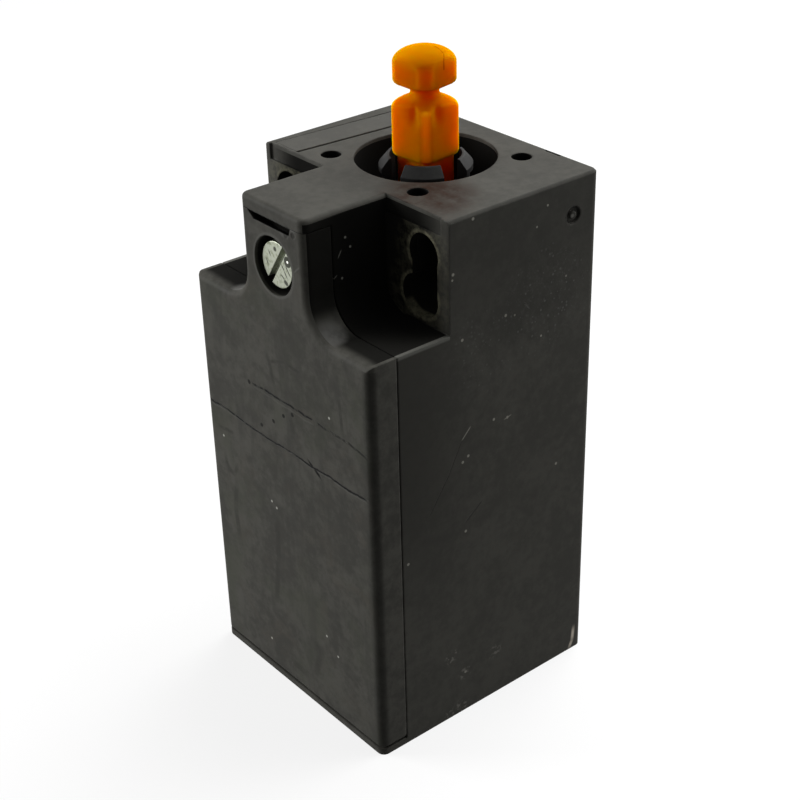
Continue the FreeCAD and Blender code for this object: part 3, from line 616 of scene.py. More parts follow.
@dataclass(frozen=True)
class CoverPlastic(MouldedPlastic):
    """Front cover's plastic, with two scored lines and rubbed streaks on its face."""

    bright_specks: Spots = Spots(0.2, (
        (-3.5, 25.5), (5.8, 11.6), (7.8, 9.8), (-5.7, 4.6), (-12.6, 30.2), (-2.6, 25.0), (8.4, 41.6)))
    rubbed_spots: Spots = Spots(0.9, ((2.0, 60.85), (3.8, 61.75)))
    nick: Line = Line(0.26, ((3.7, 56.75), (4.6, 57.6)))
    dents: Spots = Spots(0.45, ((3.9, 60.75), (2.6, 60.5)))
    lower_score: Line = Line(0.42, ((-15.4, 34.2), (-9.6, 34.15), (-7.8, 33.9), (14.3, 34.15)))
    burr: Line = Line(0.5, ((4.3, 34.5), (5.2, 34.0), (6.4, 33.3)))
    upper_score: Line = Line(0.46, ((-5.4, 40.0), (-3.4, 40.1), (2.4, 40.05), (5.6, 40.0)))
    faint_score: Line = Line(0.5, ((5.6, 40.0), (8.0, 40.0), (10.5, 40.05), (14.6, 39.5)))
    score_spots: Spots = Spots(0.34, ((-6.3, 39.9), (-4.4, 35.2), (-2.0, 36.7), (0.0, 38.2), (1.7, 39.0)))
    # lower lips of the scores, where a painted highlight is laid
    lit_edges: tuple[Line, ...] = (
        Line(0.3, ((-15.4, 33.87), (14.3, 33.87))), Line(0.3, ((-5.5, 39.6), (5.6, 39.4))))
    smear_lines: tuple[Line, ...] = (
        Line(0.7, ((-13.4, 31.2), (-10.5, 31.4))),
        Line(0.9, ((-12.6, 27.4), (-12.2, 26.0), (-10.9, 25.6), (-10.3, 26.8))),
        Line(1.3, ((-10.6, 24.8), (-11.3, 21.0), (-11.0, 16.8))),
        Line(1.4, ((-2.7, 23.2), (-2.9, 17.8), (-4.0, 11.4))),
        Line(1.7, ((3.0, 10.0), (4.2, 7.9), (3.2, 4.5))),
        Line(1.6, ((-1.8, 3.7), (1.5, 3.3))),
        Line(1.6, ((7.8, 15.4), (8.7, 13.0))),
        Line(0.6, ((-1.9, 44.2), (1.0, 45.2), (3.7, 45.0))),
        Line(0.9, ((-1.4, 41.6), (-2.2, 44.6))),
        Line(1.2, ((1.2, 38.9), (1.6, 36.6))),
        Line(0.8, ((10.2, 44.8), (10.6, 40.9))))
    slot_half: float = 4.2
    slot_span: Point = (59.4, 61.6)
    hole_radius: float = 3.4
    shine_place: Point = (7.6, -14.7)
    seam_fade: Point = (-15.0, -4.0)

    def marks(self, paint: Paint) -> None:
        """Marks of use on the front, painted shade in the slot, the hole and the shoulders, a painted sheen
        in each scoop, and the seams.

        Args:
            paint: the material being painted.
        """
        across, depth, up = paint.axes
        on_front = depth < FRONT + FRONT_SKIN
        wander = (paint.noise(2.4, Grit.EVEN) - 0.5) * 0.7
        face = (across, up + wander)
        self.blotches(paint, on_front)
        self.smears(paint, face, on_front)
        self.scores(paint, face, on_front)
        paint.tint(paint.spots((across, up), self.bright_specks) * on_front, SPECK, 0.9)
        self.knocks(paint, face, on_front)
        self.hollow_shade(paint)
        self.shoulders(paint)
        self.seams(paint)

    def blotches(self, paint: Paint, on_front: Shade) -> None:
        """Olive and warm patches of old grime.

        Args:
            paint: the material being painted.
            on_front: 1 on the cover's front.
        """
        olive = paint.noise(9.0, Grit.RAGGED, warp=0.8).rise(0.45, 0.7)
        elsewhere = paint.turned((20, 70, 10), (1.0, 1.0, 1.0))
        warm = paint.noise(6.0, Grit.RAGGED, elsewhere, warp=0.8).rise(0.5, 0.75)
        paint.tint(olive * on_front, self.times(0.86, 0.95, 0.8), 0.5)
        paint.tint(warm * on_front, self.times(1.16, 1.06, 1.0), 0.5)

    def smears(self, paint: Paint, face: Face, on_front: Shade) -> None:
        """Soft dark streaks that run down the front.

        Args:
            paint: the material being painted.
            face: the face's two coordinates.
            on_front: 1 on the cover's front.
        """
        marks = paint.lines(face, *self.smear_lines)
        downward = paint.turned((0, 0, 0), (1.0, 1.0, 0.12))
        streaks = paint.noise(1.7, Grit.EVEN, downward, warp=0.3).rise(0.47, 0.7)
        broken = paint.noise(1.1, Grit.RAGGED).rise(0.3, 0.55) * 0.5 + 0.5
        paint.tint(strongest((marks * broken, 0.7), (streaks, 0.42)) * on_front, self.times(0.55))
        paint.dull(streaks * on_front, -0.06)

    def scores(self, paint: Paint, face: Face, on_front: Shade) -> None:
        """Two ragged lines across the front, with a burr, spots and a painted highlight along each lower
        edge.

        Args:
            paint: the material being painted.
            face: the face's two coordinates.
            on_front: 1 on the cover's front.
        """
        ragged = paint.noise(1.5, Grit.EVEN).rise(0.34, 0.5)
        lower = paint.lines(face, self.lower_score) * (ragged * 0.4 + 0.6)
        upper = paint.lines(face, self.upper_score) * (ragged * 0.5 + 0.5)
        faint = paint.lines(face, self.faint_score) * ragged * 0.7
        cuts = largest((lower, paint.lines(face, self.burr), upper, faint))
        # painted highlight along the scores' lower lips
        paint.tint(paint.lines(face, *self.lit_edges) * ragged * on_front, self.plus(0.1), 0.16)
        paint.tint(cuts.most(paint.spots(face, self.score_spots) * 0.9) * on_front, self.times(0.05))
        paint.raised(cuts * on_front, -0.08)

    def knocks(self, paint: Paint, face: Face, on_front: Shade) -> None:
        """Worn spots, dents and a nick round the pry slot and the screw hole, and a painted highlight on the
        hole's rim.

        Args:
            paint: the material being painted.
            face: the face's two coordinates.
            on_front: 1 on the cover's front.
        """
        rubbed = paint.spots(face, self.rubbed_spots).most(paint.lines(face, self.nick))
        paint.tint(rubbed * on_front, self.plus(0.1), 0.35)
        dents = paint.spots(face, self.dents) * on_front
        paint.tint(dents, self.times(0.3), 0.6)
        paint.raised(dents, -0.06)
        centre = (0.0, SCREW_HEIGHT)
        # painted highlight on the screw hole's rim
        outer = paint.disc(face, centre, radius=self.hole_radius + 0.15, soft=0.15)
        rim = outer - paint.disc(face, centre, radius=self.hole_radius - 0.1, soft=0.1)
        paint.tint(rim * on_front, self.plus(0.06), 0.4)

    def hollow_shade(self, paint: Paint) -> None:
        """Painted shade on the walls inside the pry slot and the screw hole.

        Args:
            paint: the material being painted.
        """
        across, depth, up = paint.axes
        slot = (abs(across) < self.slot_half) * up.within(*self.slot_span)
        hole = paint.disc((across, up), (0.0, SCREW_HEIGHT), radius=self.hole_radius, soft=0.1)
        inward = depth.rise(FRONT + 0.15, FRONT + 0.5)
        # painted shade inside the slot and the hole
        paint.tint(slot.most(hole) * inward, self.times(0.1), 0.9)

    def shoulders(self, paint: Paint) -> None:
        """Painted shade on the shoulders' floors and on the tower's sides, and a painted sheen in each scoop.

        Args:
            paint: the material being painted.
        """
        across, depth, up = paint.axes
        size = abs(across)
        inward = depth > FRONT + 0.5
        level = abs(up - SHOULDER).rise(1.6, 0.3) * depth.rise(FRONT + 0.3, FRONT + 1.8)
        floor = size.rise(TOWER_HALF + 0.7, TOWER_HALF + 3.9) * level * (size < HALF_WIDTH - RIM_SKIN)
        beside = (size > TOWER_HALF - TOWER_SKIN) * size.rise(TOWER_HALF + 1.8, TOWER_HALF + 0.2)
        tower = beside * inward * up.rise(SHOULDER + 0.3, SHOULDER + 2.6)
        # painted shade on the shoulders' floors and the tower's sides
        paint.tint(strongest((floor, 0.95), (tower, 0.92)), self.times(0.1))
        paint.dull(floor.most(tower), 0.4)
        # painted sheen in each scoop
        patch = paint.disc((size, depth), self.shine_place, radius=0.1, soft=2.1)
        shine = patch * up.rise(SHOULDER + 2.0, SHOULDER + 0.3) * inward
        uneven = paint.noise(1.2, Grit.RAGGED).rise(0.3, 0.6) * 0.4 + 0.6
        paint.tint(shine * uneven, self.plus(0.06))

    def seams(self, paint: Paint) -> None:
        """Dark seam along the foot, and painted shade down the front right corner.

        Args:
            paint: the material being painted.
        """
        across, depth, up = paint.axes
        foot = up.rise(COVER_FOOT + 0.25, COVER_FOOT + 0.1) * across.rise(*self.seam_fade)
        # painted shade down the rounded front right corner
        corner = across.rise(HALF_WIDTH - 1.5, HALF_WIDTH - 0.8) * depth.rise(FRONT + 1.3, FRONT + 0.7)
        corner_shade_band = corner * (up < SHOULDER - 0.6)
        paint.tint(strongest((foot, 0.95), (corner_shade_band, 0.4)), self.times(0.12))


@dataclass(frozen=True)
class HousingPlastic(MouldedPlastic):
    """Housing's plastic: scratches, dust and painted shade on its right side, dusty rims round the fixing
    holes.
    """

    slot_ends: tuple[Point, Point] = ((10.29, 53.18), (11.41, 53.18))
    hole_place: Point = (11.5, 58.1)
    hole_radius: float = 2.25
    index_place: Point = (7.32, 7.32)
    index_radius: float = 1.2
    mark_place: Point = (12.1, 58.6)
    mark_squeeze: float = 0.77
    mark_outer: float = 0.85
    mark_inner: float = 0.6
    mark_core: float = 0.45
    mark_soft: float = 0.15
    glint_place: Point = (-0.1, -0.05)
    glint_radius: float = 0.12
    # extents of the painted shade over the right side
    side_shade_depth: Point = (1.0, -12.0)
    side_shade_low: Point = (10.0, 36.0)
    side_shade_high: Point = (42.0, 56.0)
    powder_near: Point = (8.5, 50.0)
    powder_far: Point = (0.0, 47.0)
    crumbs_front: float = -11.0
    lip_fade: Point = (52.2, 51.4)
    side_specks: Spots = Spots(0.22, (
        (-2.1, 62.3), (-4.8, 57.0), (2.5, 50.0), (-3.6, 49.2), (2.9, 37.5), (0.9, 38.0), (-2.8, 34.9),
        (-3.6, 34.4), (10.6, 28.4), (-3.2, 25.3), (-11.5, 24.7), (-3.3, 5.6)))
    small_specks: Spots = Spots(0.16, (
        (7.75, 45.8), (3.8, 49.6), (11.3, 51.8), (6.8, 58.8), (8.3, 60.8), (-4.9, 56.4)))
    pale_lines: tuple[Line, ...] = (
        Line(0.22, ((-2.5, 38.4), (-3.7, 37.2))), Line(0.22, ((2.5, 37.4), (3.4, 37.6))))
    dark_lines: tuple[Line, ...] = (
        Line(0.16, ((-3.7, 37.2), (-5.6, 33.6), (-8.3, 29.7))), Line(0.26, ((-0.9, 28.2), (-3.2, 26.5))))
    foot_scuffs: Spots = Spots(1.2, ((-5.4, 8.8), (-3.4, 5.6), (1.3, 6.2), (-3.9, 1.0), (-5.5, 0.6)))
    chip: Line = Line(0.7, ((13.9, 0.3), (14.3, 1.2), (14.45, 2.9)))
    smudges: Spots = Spots(3.8, ((9.7, 49.4), (7.6, 56.5), (5.3, 48.5)))
    # inner corner of the shoulders, filled with painted shade
    inner_corner: Spots = Spots(9.5, ((TOWER_HALF, SHOULDER_BACK),))
    stain_place: Point = (8.9, -2.2)
    # gap beside the strip, where painted shade is laid
    strip_groove: Line = Line(0.9, ((-10.55, -4.2), (-9.25, 14.5)))
    tower_lines: tuple[Line, ...] = (
        Line(0.2, ((-11.6, 57.6), (-11.2, 58.3))), Line(0.2, ((-12.3, 55.4), (-11.9, 55.7))))
    tower_specks: Spots = Spots(0.18, ((-10.6, 59.6), (-10.0, 58.4), (-11.2, 55.2)))

    def marks(self, paint: Paint) -> None:
        """Marks on the right side, the top and the tower, painted shade on the right side and in the
        recesses, and crumbs and dust in them.

        Args:
            paint: the material being painted.
        """
        across, depth, up = paint.axes
        on_side = across > HALF_WIDTH - SIDE_SKIN
        face = (depth, up)
        # painted shade: the right side darker towards its front and near its top
        low_front = depth.rise(*self.side_shade_depth) * up.rise(*self.side_shade_low)
        side_shade = strongest((low_front, 0.85), (up.rise(*self.side_shade_high), 0.45))
        paint.tint(side_shade * on_side, self.times(0.5))
        self.scratches(paint, face, on_side)
        self.scuffs(paint, face, on_side)
        self.moulded_mark(paint, face, on_side)
        self.powder(paint, face, on_side)
        self.grime(paint)
        self.top_marks(paint)
        self.rims_dust_shade_and_highlights(paint)
        self.tower_scratches(paint)

    def scratches(self, paint: Paint, face: Face, on_side: Shade) -> None:
        """Pale specks, short pale scratches and longer dark ones.

        Args:
            paint: the material being painted.
            face: the face's two coordinates.
            on_side: 1 on the housing's right side.
        """
        specks = paint.spots(face, self.side_specks).most(paint.spots(face, self.small_specks))
        patches = paint.noise(7.0, Grit.EVEN).rise(0.38, 0.6)
        fine = paint.specks(spacing=1.0, radius=0.1, share=0.35) * patches
        pale = strongest((specks, 0.8), (paint.lines(face, *self.pale_lines), 0.6), (fine, 0.5))
        paint.tint(pale * on_side, DUST)
        lines = paint.lines(face, *self.dark_lines) * on_side
        paint.tint(lines, self.times(0.4), 0.8)
        paint.raised(lines, -0.03)

    def scuffs(self, paint: Paint, face: Face, on_side: Shade) -> None:
        """Pale scuffs near the foot, a chipped corner and dark smudges.

        Args:
            paint: the material being painted.
            face: the face's two coordinates.
            on_side: 1 on the housing's right side.
        """
        broken = paint.noise(0.7, Grit.RAGGED).rise(0.52, 0.62)
        paint.tint(paint.spots(face, self.foot_scuffs) * broken * on_side, SCUFF, 0.35)
        near_corner = paint.axes[0] > HALF_WIDTH - 1.0
        paint.tint(paint.lines(face, self.chip) * near_corner, CHIPPED)
        patches = paint.noise(2.4, Grit.RAGGED).rise(0.35, 0.6)
        paint.tint(paint.spots(face, self.smudges) * patches * on_side, self.times(0.6), 0.5)

    def moulded_mark(self, paint: Paint, face: Face, on_side: Shade) -> None:
        """Plain round mark high on the side, with a painted glint near its middle.

        Args:
            paint: the material being painted.
            face: the face's two coordinates.
            on_side: 1 on the housing's right side.
        """
        oval = ((face[0] - self.mark_place[0]) * self.mark_squeeze, face[1] - self.mark_place[1])
        centre = (0.0, 0.0)
        outer = paint.disc(oval, centre, self.mark_outer, self.mark_soft)
        ring = outer - paint.disc(oval, centre, self.mark_inner, self.mark_soft)
        patchy = paint.noise(0.5, Grit.EVEN).rise(0.42, 0.6)
        paint.tint(ring * (patchy * 0.5 + 0.5) * on_side, self.times(0.25), 0.8)
        core = paint.disc(oval, centre, self.mark_core, self.mark_soft)
        paint.tint(core * on_side * patchy, self.times(0.3), 0.6)
        # painted highlight on the mark
        glint = paint.disc(oval, self.glint_place, self.glint_radius, self.mark_soft)
        paint.tint(glint * on_side, GLINT, 0.4)

    def powder(self, paint: Paint, face: Face, on_side: Shade) -> None:
        """Fine pale dust and short scratches over the upper half of the right side.

        Args:
            paint: the material being painted.
            face: the face's two coordinates.
            on_side: 1 on the housing's right side.
        """
        near = paint.disc(face, self.powder_near, radius=2.0, soft=6.0)
        cloud = near.most(paint.disc(face, self.powder_far, radius=1.0, soft=6.0) * 0.6)
        hairs = paint.hairlines((50, 10, 0), gap=0.9, length=3.0, share=0.45)
        grains = paint.specks(spacing=0.55, radius=0.12, share=0.3).most(hairs * 0.8)
        haze = paint.noise(0.6, Grit.GRITTY).rise(0.5, 0.72)
        paint.tint(strongest((grains, 0.55), (haze, 0.28)) * cloud * on_side, self.plus(0.07))

    # painted shade in the recesses, with crumbs
    def grime(self, paint: Paint) -> None:
        """Painted shade in the shoulders, their inner corners, the socket and the index holes, and crumbs in
        the shoulders.

        Args:
            paint: the material being painted.
        """
        across, depth, up = paint.axes
        size = abs(across)
        corner = paint.spots((size, depth), self.inner_corner) * (up > SHOULDER - 0.2)
        corner = corner * (depth < SHOULDER_BACK + 1.0)
        recess = size.within(TOWER_HALF - TOWER_SKIN, HALF_WIDTH - RIM_SKIN) * (depth < SHOULDER_BACK - 0.05)
        recess = recess * up.within(SHOULDER - 0.4, HEIGHT - 0.5)
        # painted shade in the shoulders' recesses
        paint.tint(recess, self.times(0.1), 0.93)
        paint.dull(recess, 0.4)
        crumbs = paint.specks(spacing=0.8, radius=0.1, share=0.3) * recess
        paint.tint(crumbs * (up < SHOULDER + 0.4) * (depth > self.crumbs_front), CRUMB, 0.5)
        from_axis = paint.from_place((across, depth), (0.0, AXIS_Y))
        socket = (from_axis < (SOCKET_RADIUS + 0.2) ** 2) * (up > HEIGHT - SOCKET_DEPTH)
        deep_shade = corner.most(socket) * (up < HEIGHT - 0.4)
        # painted shade in the inner corners and the socket
        paint.tint(deep_shade, self.times(0.05), 0.95)
        paint.dull(deep_shade, 0.4)
        quarter = (size, abs(depth - AXIS_Y))
        indexes = paint.disc(quarter, self.index_place, radius=self.index_radius, soft=0.1)
        # painted shade in the index holes
        paint.tint(indexes * up.within(HEIGHT - SOCKET_DEPTH, HEIGHT - 0.06), self.times(0.05))

    def top_marks(self, paint: Paint) -> None:
        """A warm stain at the socket's front right, and painted shade in the gap beside the strip.

        Args:
            paint: the material being painted.
        """
        across, depth, up = paint.axes
        face = (across, depth)
        stain = paint.disc(face, self.stain_place, radius=0.6, soft=6.0) * (up > HEIGHT - 0.05)
        patches = paint.noise(2.2, Grit.RAGGED).rise(0.32, 0.66)
        paint.tint(stain * (patches * 0.6 + 0.35), self.times(0.3, 0.15, 0.1))
        # painted shade in the gap beside the strip
        strip_gap_shade = paint.lines(face, self.strip_groove) * (up > HEIGHT - 1.7)
        paint.tint(strip_gap_shade, self.times(0.1), 0.9)

    def rims_dust_shade_and_highlights(self, paint: Paint) -> None:
        """Pale dust that clings round the fixing holes, painted shade inside them, and wear with a painted
        highlight along the shoulders' edges.

        Args:
            paint: the material being painted.
        """
        across, depth, up = paint.axes
        size = abs(across)
        face = (size, up)
        wall_front = SHOULDER_BACK + 0.06
        wall = depth.within(SHOULDER_BACK - 0.3, wall_front) * (up > SHOULDER + 0.1)
        broken = paint.noise(0.8, Grit.RAGGED).rise(0.36, 0.62)
        paint.tint(wall * broken * self.around_holes(paint, face, grown=1.0, soft=1.6), OLD_DUST, 0.14)
        on_right = (across > 0.0) * 0.8 + 0.2
        rim = self.around_holes(paint, face, grown=0.12, soft=0.45)
        paint.tint(wall * rim * on_right * (broken * 0.28 + 0.2), RIM_DUST)
        # painted shade inside the fixing holes
        inside = self.around_holes(paint, face, grown=0.6, soft=0.2) * depth.within(wall_front, BACK - 0.3)
        paint.tint(inside, self.times(0.12), 0.9)
        lip = inside * depth.rise(SHOULDER_BACK + 1.3, SHOULDER_BACK + 0.8) * up.rise(*self.lip_fade)
        paint.tint(lip * on_right * (broken * 0.3 + 0.25), LIP_DUST)
        ledge = (size > HALF_WIDTH - 0.5) * abs(up - SHOULDER).rise(0.5, 0.2) * (depth < SHOULDER_BACK)
        upright = paint.near_edge * (size > HALF_WIDTH - 0.8) * (up > SHOULDER)
        upright = upright * abs(depth - SHOULDER_BACK).rise(1.0, 0.3)
        # wear and a painted highlight along the shoulders' edges
        paint.tint(strongest((ledge, 0.65), (upright, 0.55)), EDGE_WEAR_AND_HIGHLIGHT)

    def around_holes(self, paint: Paint, face: Face, grown: float, soft: float) -> Shade:
        """A fixing hole's own shape grown by some millimetres, with a soft edge."""
        radius = self.hole_radius + grown
        return largest(paint.disc(face, place, radius, soft) for place in (*self.slot_ends, self.hole_place))

    def tower_scratches(self, paint: Paint) -> None:
        """Fine pale scratches on the right side of the screw tower.

        Args:
            paint: the material being painted.
        """
        across, depth, up = paint.axes
        face = (depth, up)
        on_tower = across.within(TOWER_HALF - TOWER_SKIN, TOWER_HALF + SIDE_SKIN) * (up > SHOULDER + 2.0)
        lines = paint.lines(face, *self.tower_lines)
        specks = paint.spots(face, self.tower_specks)
        paint.tint(strongest((lines, 0.4), (specks, 0.6)) * on_tower, TOWER_SCRATCH)


@dataclass(frozen=True)
class OrangePlastic(MouldedPlastic):
    """Bright plastic that lets a little light through, with painted light on its ridges, legs, neck and
    crown.
    """

    # painted light: the ridges glow, the shaded legs and neck are lifted, and the crown is partly wear and
    # partly painted light from above
    ridge: Triple = (0.82, 0.36, 0.003)
    legs: Triple = (0.58, 0.19, 0.002)
    neck: Triple = (0.47, 0.2, 0.0)
    crown: Triple = (0.39, 0.168, 0.0)
    body_span: Point = (62.9, 69.6)
    head_span: Point = (70.8, 73.5)
    body_ridge: Point = (4.4, 4.95)
    body_ridge_side: Point = (1.0, 0.1)
    head_ridge: Point = (4.1, 4.7)
    head_ridge_side: Point = (1.9, 0.9)
    legs_fade: Point = (63.0, 62.6)
    neck_height: float = 69.9
    crown_fade: Point = (72.6, 73.9)
    crack_foot: float = 73.0
    crack: Line = Line(0.16, ((0.7, 0.83), (1.6, 0.77), (2.37, 0.67), (2.82, 0.31), (3.2, -0.1)))
    light_reach: Triple = (1.0, 0.35, 0.05)
    light_scale: float = 0.012

    def marks(self, paint: Paint) -> None:
        """Painted light on the ridges, legs and neck, a crown made yellower partly by wear and partly by
        painted light, and a short crack over the head.

        Args:
            paint: the material being painted.
        """
        turn = math.radians(PLUNGER_TURN)
        across, depth, up = paint.axes
        back = depth - AXIS_Y
        first = abs(across * math.cos(turn) + back * math.sin(turn))
        second = abs(back * math.cos(turn) - across * math.sin(turn))
        corner = first + second
        uneven = abs(first - second)
        body = corner.rise(*self.body_ridge) * uneven.rise(*self.body_ridge_side) * up.within(*self.body_span)
        head = corner.rise(*self.head_ridge) * uneven.rise(*self.head_ridge_side) * up.within(*self.head_span)
        # painted glow on the corner ridges
        paint.tint(strongest((body, 0.9), (head, 0.4)), self.ridge)
        # painted light on the legs in the socket's shade
        paint.tint(up.rise(*self.legs_fade), self.legs, 0.8)
        # painted light on the shaded neck
        paint.tint(abs(up - self.neck_height).rise(0.7, 0.2), self.neck, 0.8)
        # yellower crown: partly wear, partly painted light from above
        paint.tint(up.rise(*self.crown_fade), self.crown, 0.9)
        crack = paint.lines((across, back), self.crack) * (up > self.crack_foot)
        paint.tint(crack, self.times(0.35), 0.7)

    def make(self) -> bpy.types.Material:
        """The finished material.

        Returns:
            The material.
        """
        paint = self.base()
        self.marks(paint)
        return paint.finish(Specular_IOR_Level=self.gloss, Subsurface_Weight=1.0,
                            Subsurface_Radius=self.light_reach, Subsurface_Scale=self.light_scale)


@dataclass(frozen=True)
class BareMetal(Finish):
    """Metal with fine tool marks and a few darker stains."""

    rough: float = 0.35
    stain: float = 0.3
    turn: Triple = (0.0, 0.0, 0.0)
    edge_radius: float = 0.12

    def make(self) -> bpy.types.Material:
        """The finished material.

        Returns:
            The material.
        """
        paint = Paint(self.name, self.colour, self.rough - 0.12, self.edge_radius)
        tooled = paint.noise(0.16, Grit.EVEN, paint.turned(self.turn, (1.0, 0.06, 1.0)))
        blot = paint.noise(0.9, Grit.CLOUDY).rise(0.48, 0.72) * self.stain
        paint.tint(blot, self.times(0.45))
        paint.tint(paint.near_edge, self.times(1.12), 0.5)
        paint.dull(tooled, 0.25)
        paint.dull(blot, 0.3)
        paint.raised(tooled, 0.004)
        self.marks(paint)
        return paint.finish(Metallic=1.0)


@dataclass(frozen=True)
class ScrewSteel(BareMetal):
    """Plated screw whose head is scratched and dirty."""

    bead: Point = (1.86, 0.9)
    nick_lines: tuple[Line, ...] = (
        Line(0.27, ((0.76, 0.3), (1.2, -0.3), (1.6, -0.95))), Line(0.27, ((1.5, 0.36), (2.2, -0.6))),
        Line(0.27, ((0.6, -0.9), (1.2, -1.3))), Line(0.27, ((-1.4, 1.2), (-1.1, 0.7))),
        Line(0.27, ((-1.9, 0.1), (-1.6, -0.5))))
    dirt_spots: Spots = Spots(0.34, ((1.3, -1.55), (1.5, -1.65), (-0.25, 1.7)))

    def marks(self, paint: Paint) -> None:
        """Nicks, dirt and one painted highlight on the head.

        Args:
            paint: the material being painted.
        """
        across, _, up = paint.axes
        face = (across, up - SCREW_HEIGHT)
        dirt = paint.spots(face, self.dirt_spots).most(paint.disc(face, self.bead, radius=0.55, soft=0.12))
        dark = paint.lines(face, *self.nick_lines).most(dirt)
        mottle = paint.noise(0.45, Grit.GRITTY).rise(0.5, 0.64) * 0.55
        paint.tint(mottle, self.times(0.5, 0.52, 0.38))
        paint.tint(dark, self.times(0.08), 0.9)
        paint.dull(dark.most(mottle), 0.25)
        # painted highlight on the bead
        paint.tint(paint.disc(face, self.bead, radius=0.1, soft=0.07), BEAD_HIGHLIGHT)


@dataclass(frozen=True)
class SoftRubber(Finish):
    """Matt rubber with a faint bloom."""

    rough: float = 0.65
    edge_radius: float = 0.15

    def make(self) -> bpy.types.Material:
        """The finished material.

        Returns:
            The material.
        """
        paint = Paint(self.name, self.colour, self.rough, self.edge_radius)
        bloom = paint.noise(2.0, Grit.CLOUDY)
        paint.tint(bloom.rise(0.45, 0.75), tuple(part * 1.8 + 0.01 for part in self.colour))
        paint.dull(bloom, 0.2)
        paint.raised(paint.noise(0.1), 0.004)
        return paint.finish(Specular_IOR_Level=0.3)


BODY_BLACK = (0.0568, 0.0555, 0.0485)
SCREW_TURN = (0.0, 34.0, 0.0)
BLACK = MouldedPlastic("black_moulding", BODY_BLACK)
COVER = CoverPlastic("cover_moulding", BODY_BLACK, cloud=0.26, gloss=0.045)
HOUSING = HousingPlastic("housing_moulding", BODY_BLACK, cloud=0.17, gloss=0.045, edge_radius=0.3)
ORANGE = OrangePlastic("orange_moulding", (0.43, 0.112, 0.0), rough=0.5, gloss=0.0, grain=0.002, cloud=0.04,
                       dust=0.01, edge_radius=0.45, edge_pale=0.1)
GREY = MouldedPlastic("grey_moulding", (0.026, 0.026, 0.0255), dust=0.03, grain=0.003, edge_radius=0.15)
CLEAN = {"grain": 0.003, "dust": 0.0, "scratch": 0.2, "edge_pale": 0.1}
IVORY = MouldedPlastic("ivory_moulding", (0.62, 0.6, 0.54), **CLEAN)
WHITE = MouldedPlastic("white_moulding", (0.75, 0.75, 0.73), **CLEAN)
RUBBER = SoftRubber("seal_rubber", (0.03, 0.03, 0.03))
STEEL = BareMetal("plated_steel", (0.46, 0.47, 0.42), rough=0.42, stain=0.6, turn=SCREW_TURN)
SCREW = ScrewSteel("screw_steel", (0.33, 0.35, 0.285), rough=0.45, stain=0.7, turn=SCREW_TURN)
SPRING = BareMetal("spring_wire", (0.55, 0.55, 0.56), rough=0.3, stain=0.1)
BRASS = BareMetal("turned_brass", (0.75, 0.58, 0.28), rough=0.3)
TINNED = BareMetal("tinned_strip", (0.74, 0.68, 0.5))
COPPER = BareMetal("copper_strip", (0.78, 0.5, 0.32))
SILVER = BareMetal("silver_tip", (0.86, 0.86, 0.84), rough=0.3, stain=0.5)

NODE_FINISHES = {
    "housing": HOUSING, "top_strip": BLACK, "front_cover": COVER, "cover_gasket": RUBBER,
    "cover_screw": SCREW, "screw_washer": WHITE, "screw_insert": BRASS, "plunger_guide": GREY,
    "plunger_seal": RUBBER, "contact_base": IVORY, "contact_lid": IVORY, "contact_carrier": WHITE,
    "nc_bridge": COPPER, "no_bridge": COPPER, "nc_bridge_tips": SILVER, "no_bridge_tips": SILVER,
    "fixed_tips": SILVER, "nc_terminal_right": TINNED, "nc_terminal_left": TINNED,
    "no_terminal_right": TINNED, "no_terminal_left": TINNED, "terminal_screws": STEEL, "clamp_plates": STEEL,
}


def close_ends(shape: bmesh.types.BMesh) -> None:
    """Fills the open ends of a wound or extruded shape."""
    bmesh.ops.holes_fill(shape, edges=[edge for edge in shape.edges if edge.is_boundary], sides=0)


class Dresser:
    """Gives CAD nodes and new pieces their materials and bodies."""

    def __init__(self) -> None:
        """Starts with no material made."""
        self.made: dict[str, bpy.types.Material] = {}

    def material(self, finish: Finish) -> bpy.types.Material:
        """The finish's material, made once.

        Args:
            finish: the finish.

        Returns:
            The material.
        """
        if finish.name not in self.made:
            self.made[finish.name] = finish.make()
        return self.made[finish.name]

    def node(self, name: str, finish: Finish) -> None:
        """Dresses a CAD node in a finish.

        Args:
            name: the node's name.
            finish: the finish.
        """
        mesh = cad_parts[name].data
        mesh.materials.clear()
        mesh.materials.append(self.material(finish))
        log.info("node %s: %s", name, finish.name)

    def piece(self, mesh: bmesh.types.BMesh, name: str, finish: Finish, slot: Slot, body: Body | None = None,
              smooth: bool = True) -> bpy.types.Object:
        """Makes an object of a bmesh.

        Args:
            mesh: the shape, in metres and in place; it is freed.
            name: the piece's name.
            finish: the finish it wears.
            slot: the record's slot of that finish; not used.
            body: the body it rides on, or none.
            smooth: whether its faces are shaded smooth.

        Returns:
            The new object.
        """
        bmesh.ops.recalc_face_normals(mesh, faces=mesh.faces)
        for face in mesh.faces:
            face.smooth = smooth
        data = bpy.data.meshes.new(name)
        mesh.to_mesh(data)
        mesh.free()
        data.materials.append(self.material(finish))
        obj = bpy.data.objects.new(name, data)
        bpy.context.scene.collection.objects.link(obj)
        if body:
            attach(obj, body.value)
        log.info("piece %s: %d faces", name, len(data.polygons))
        return obj


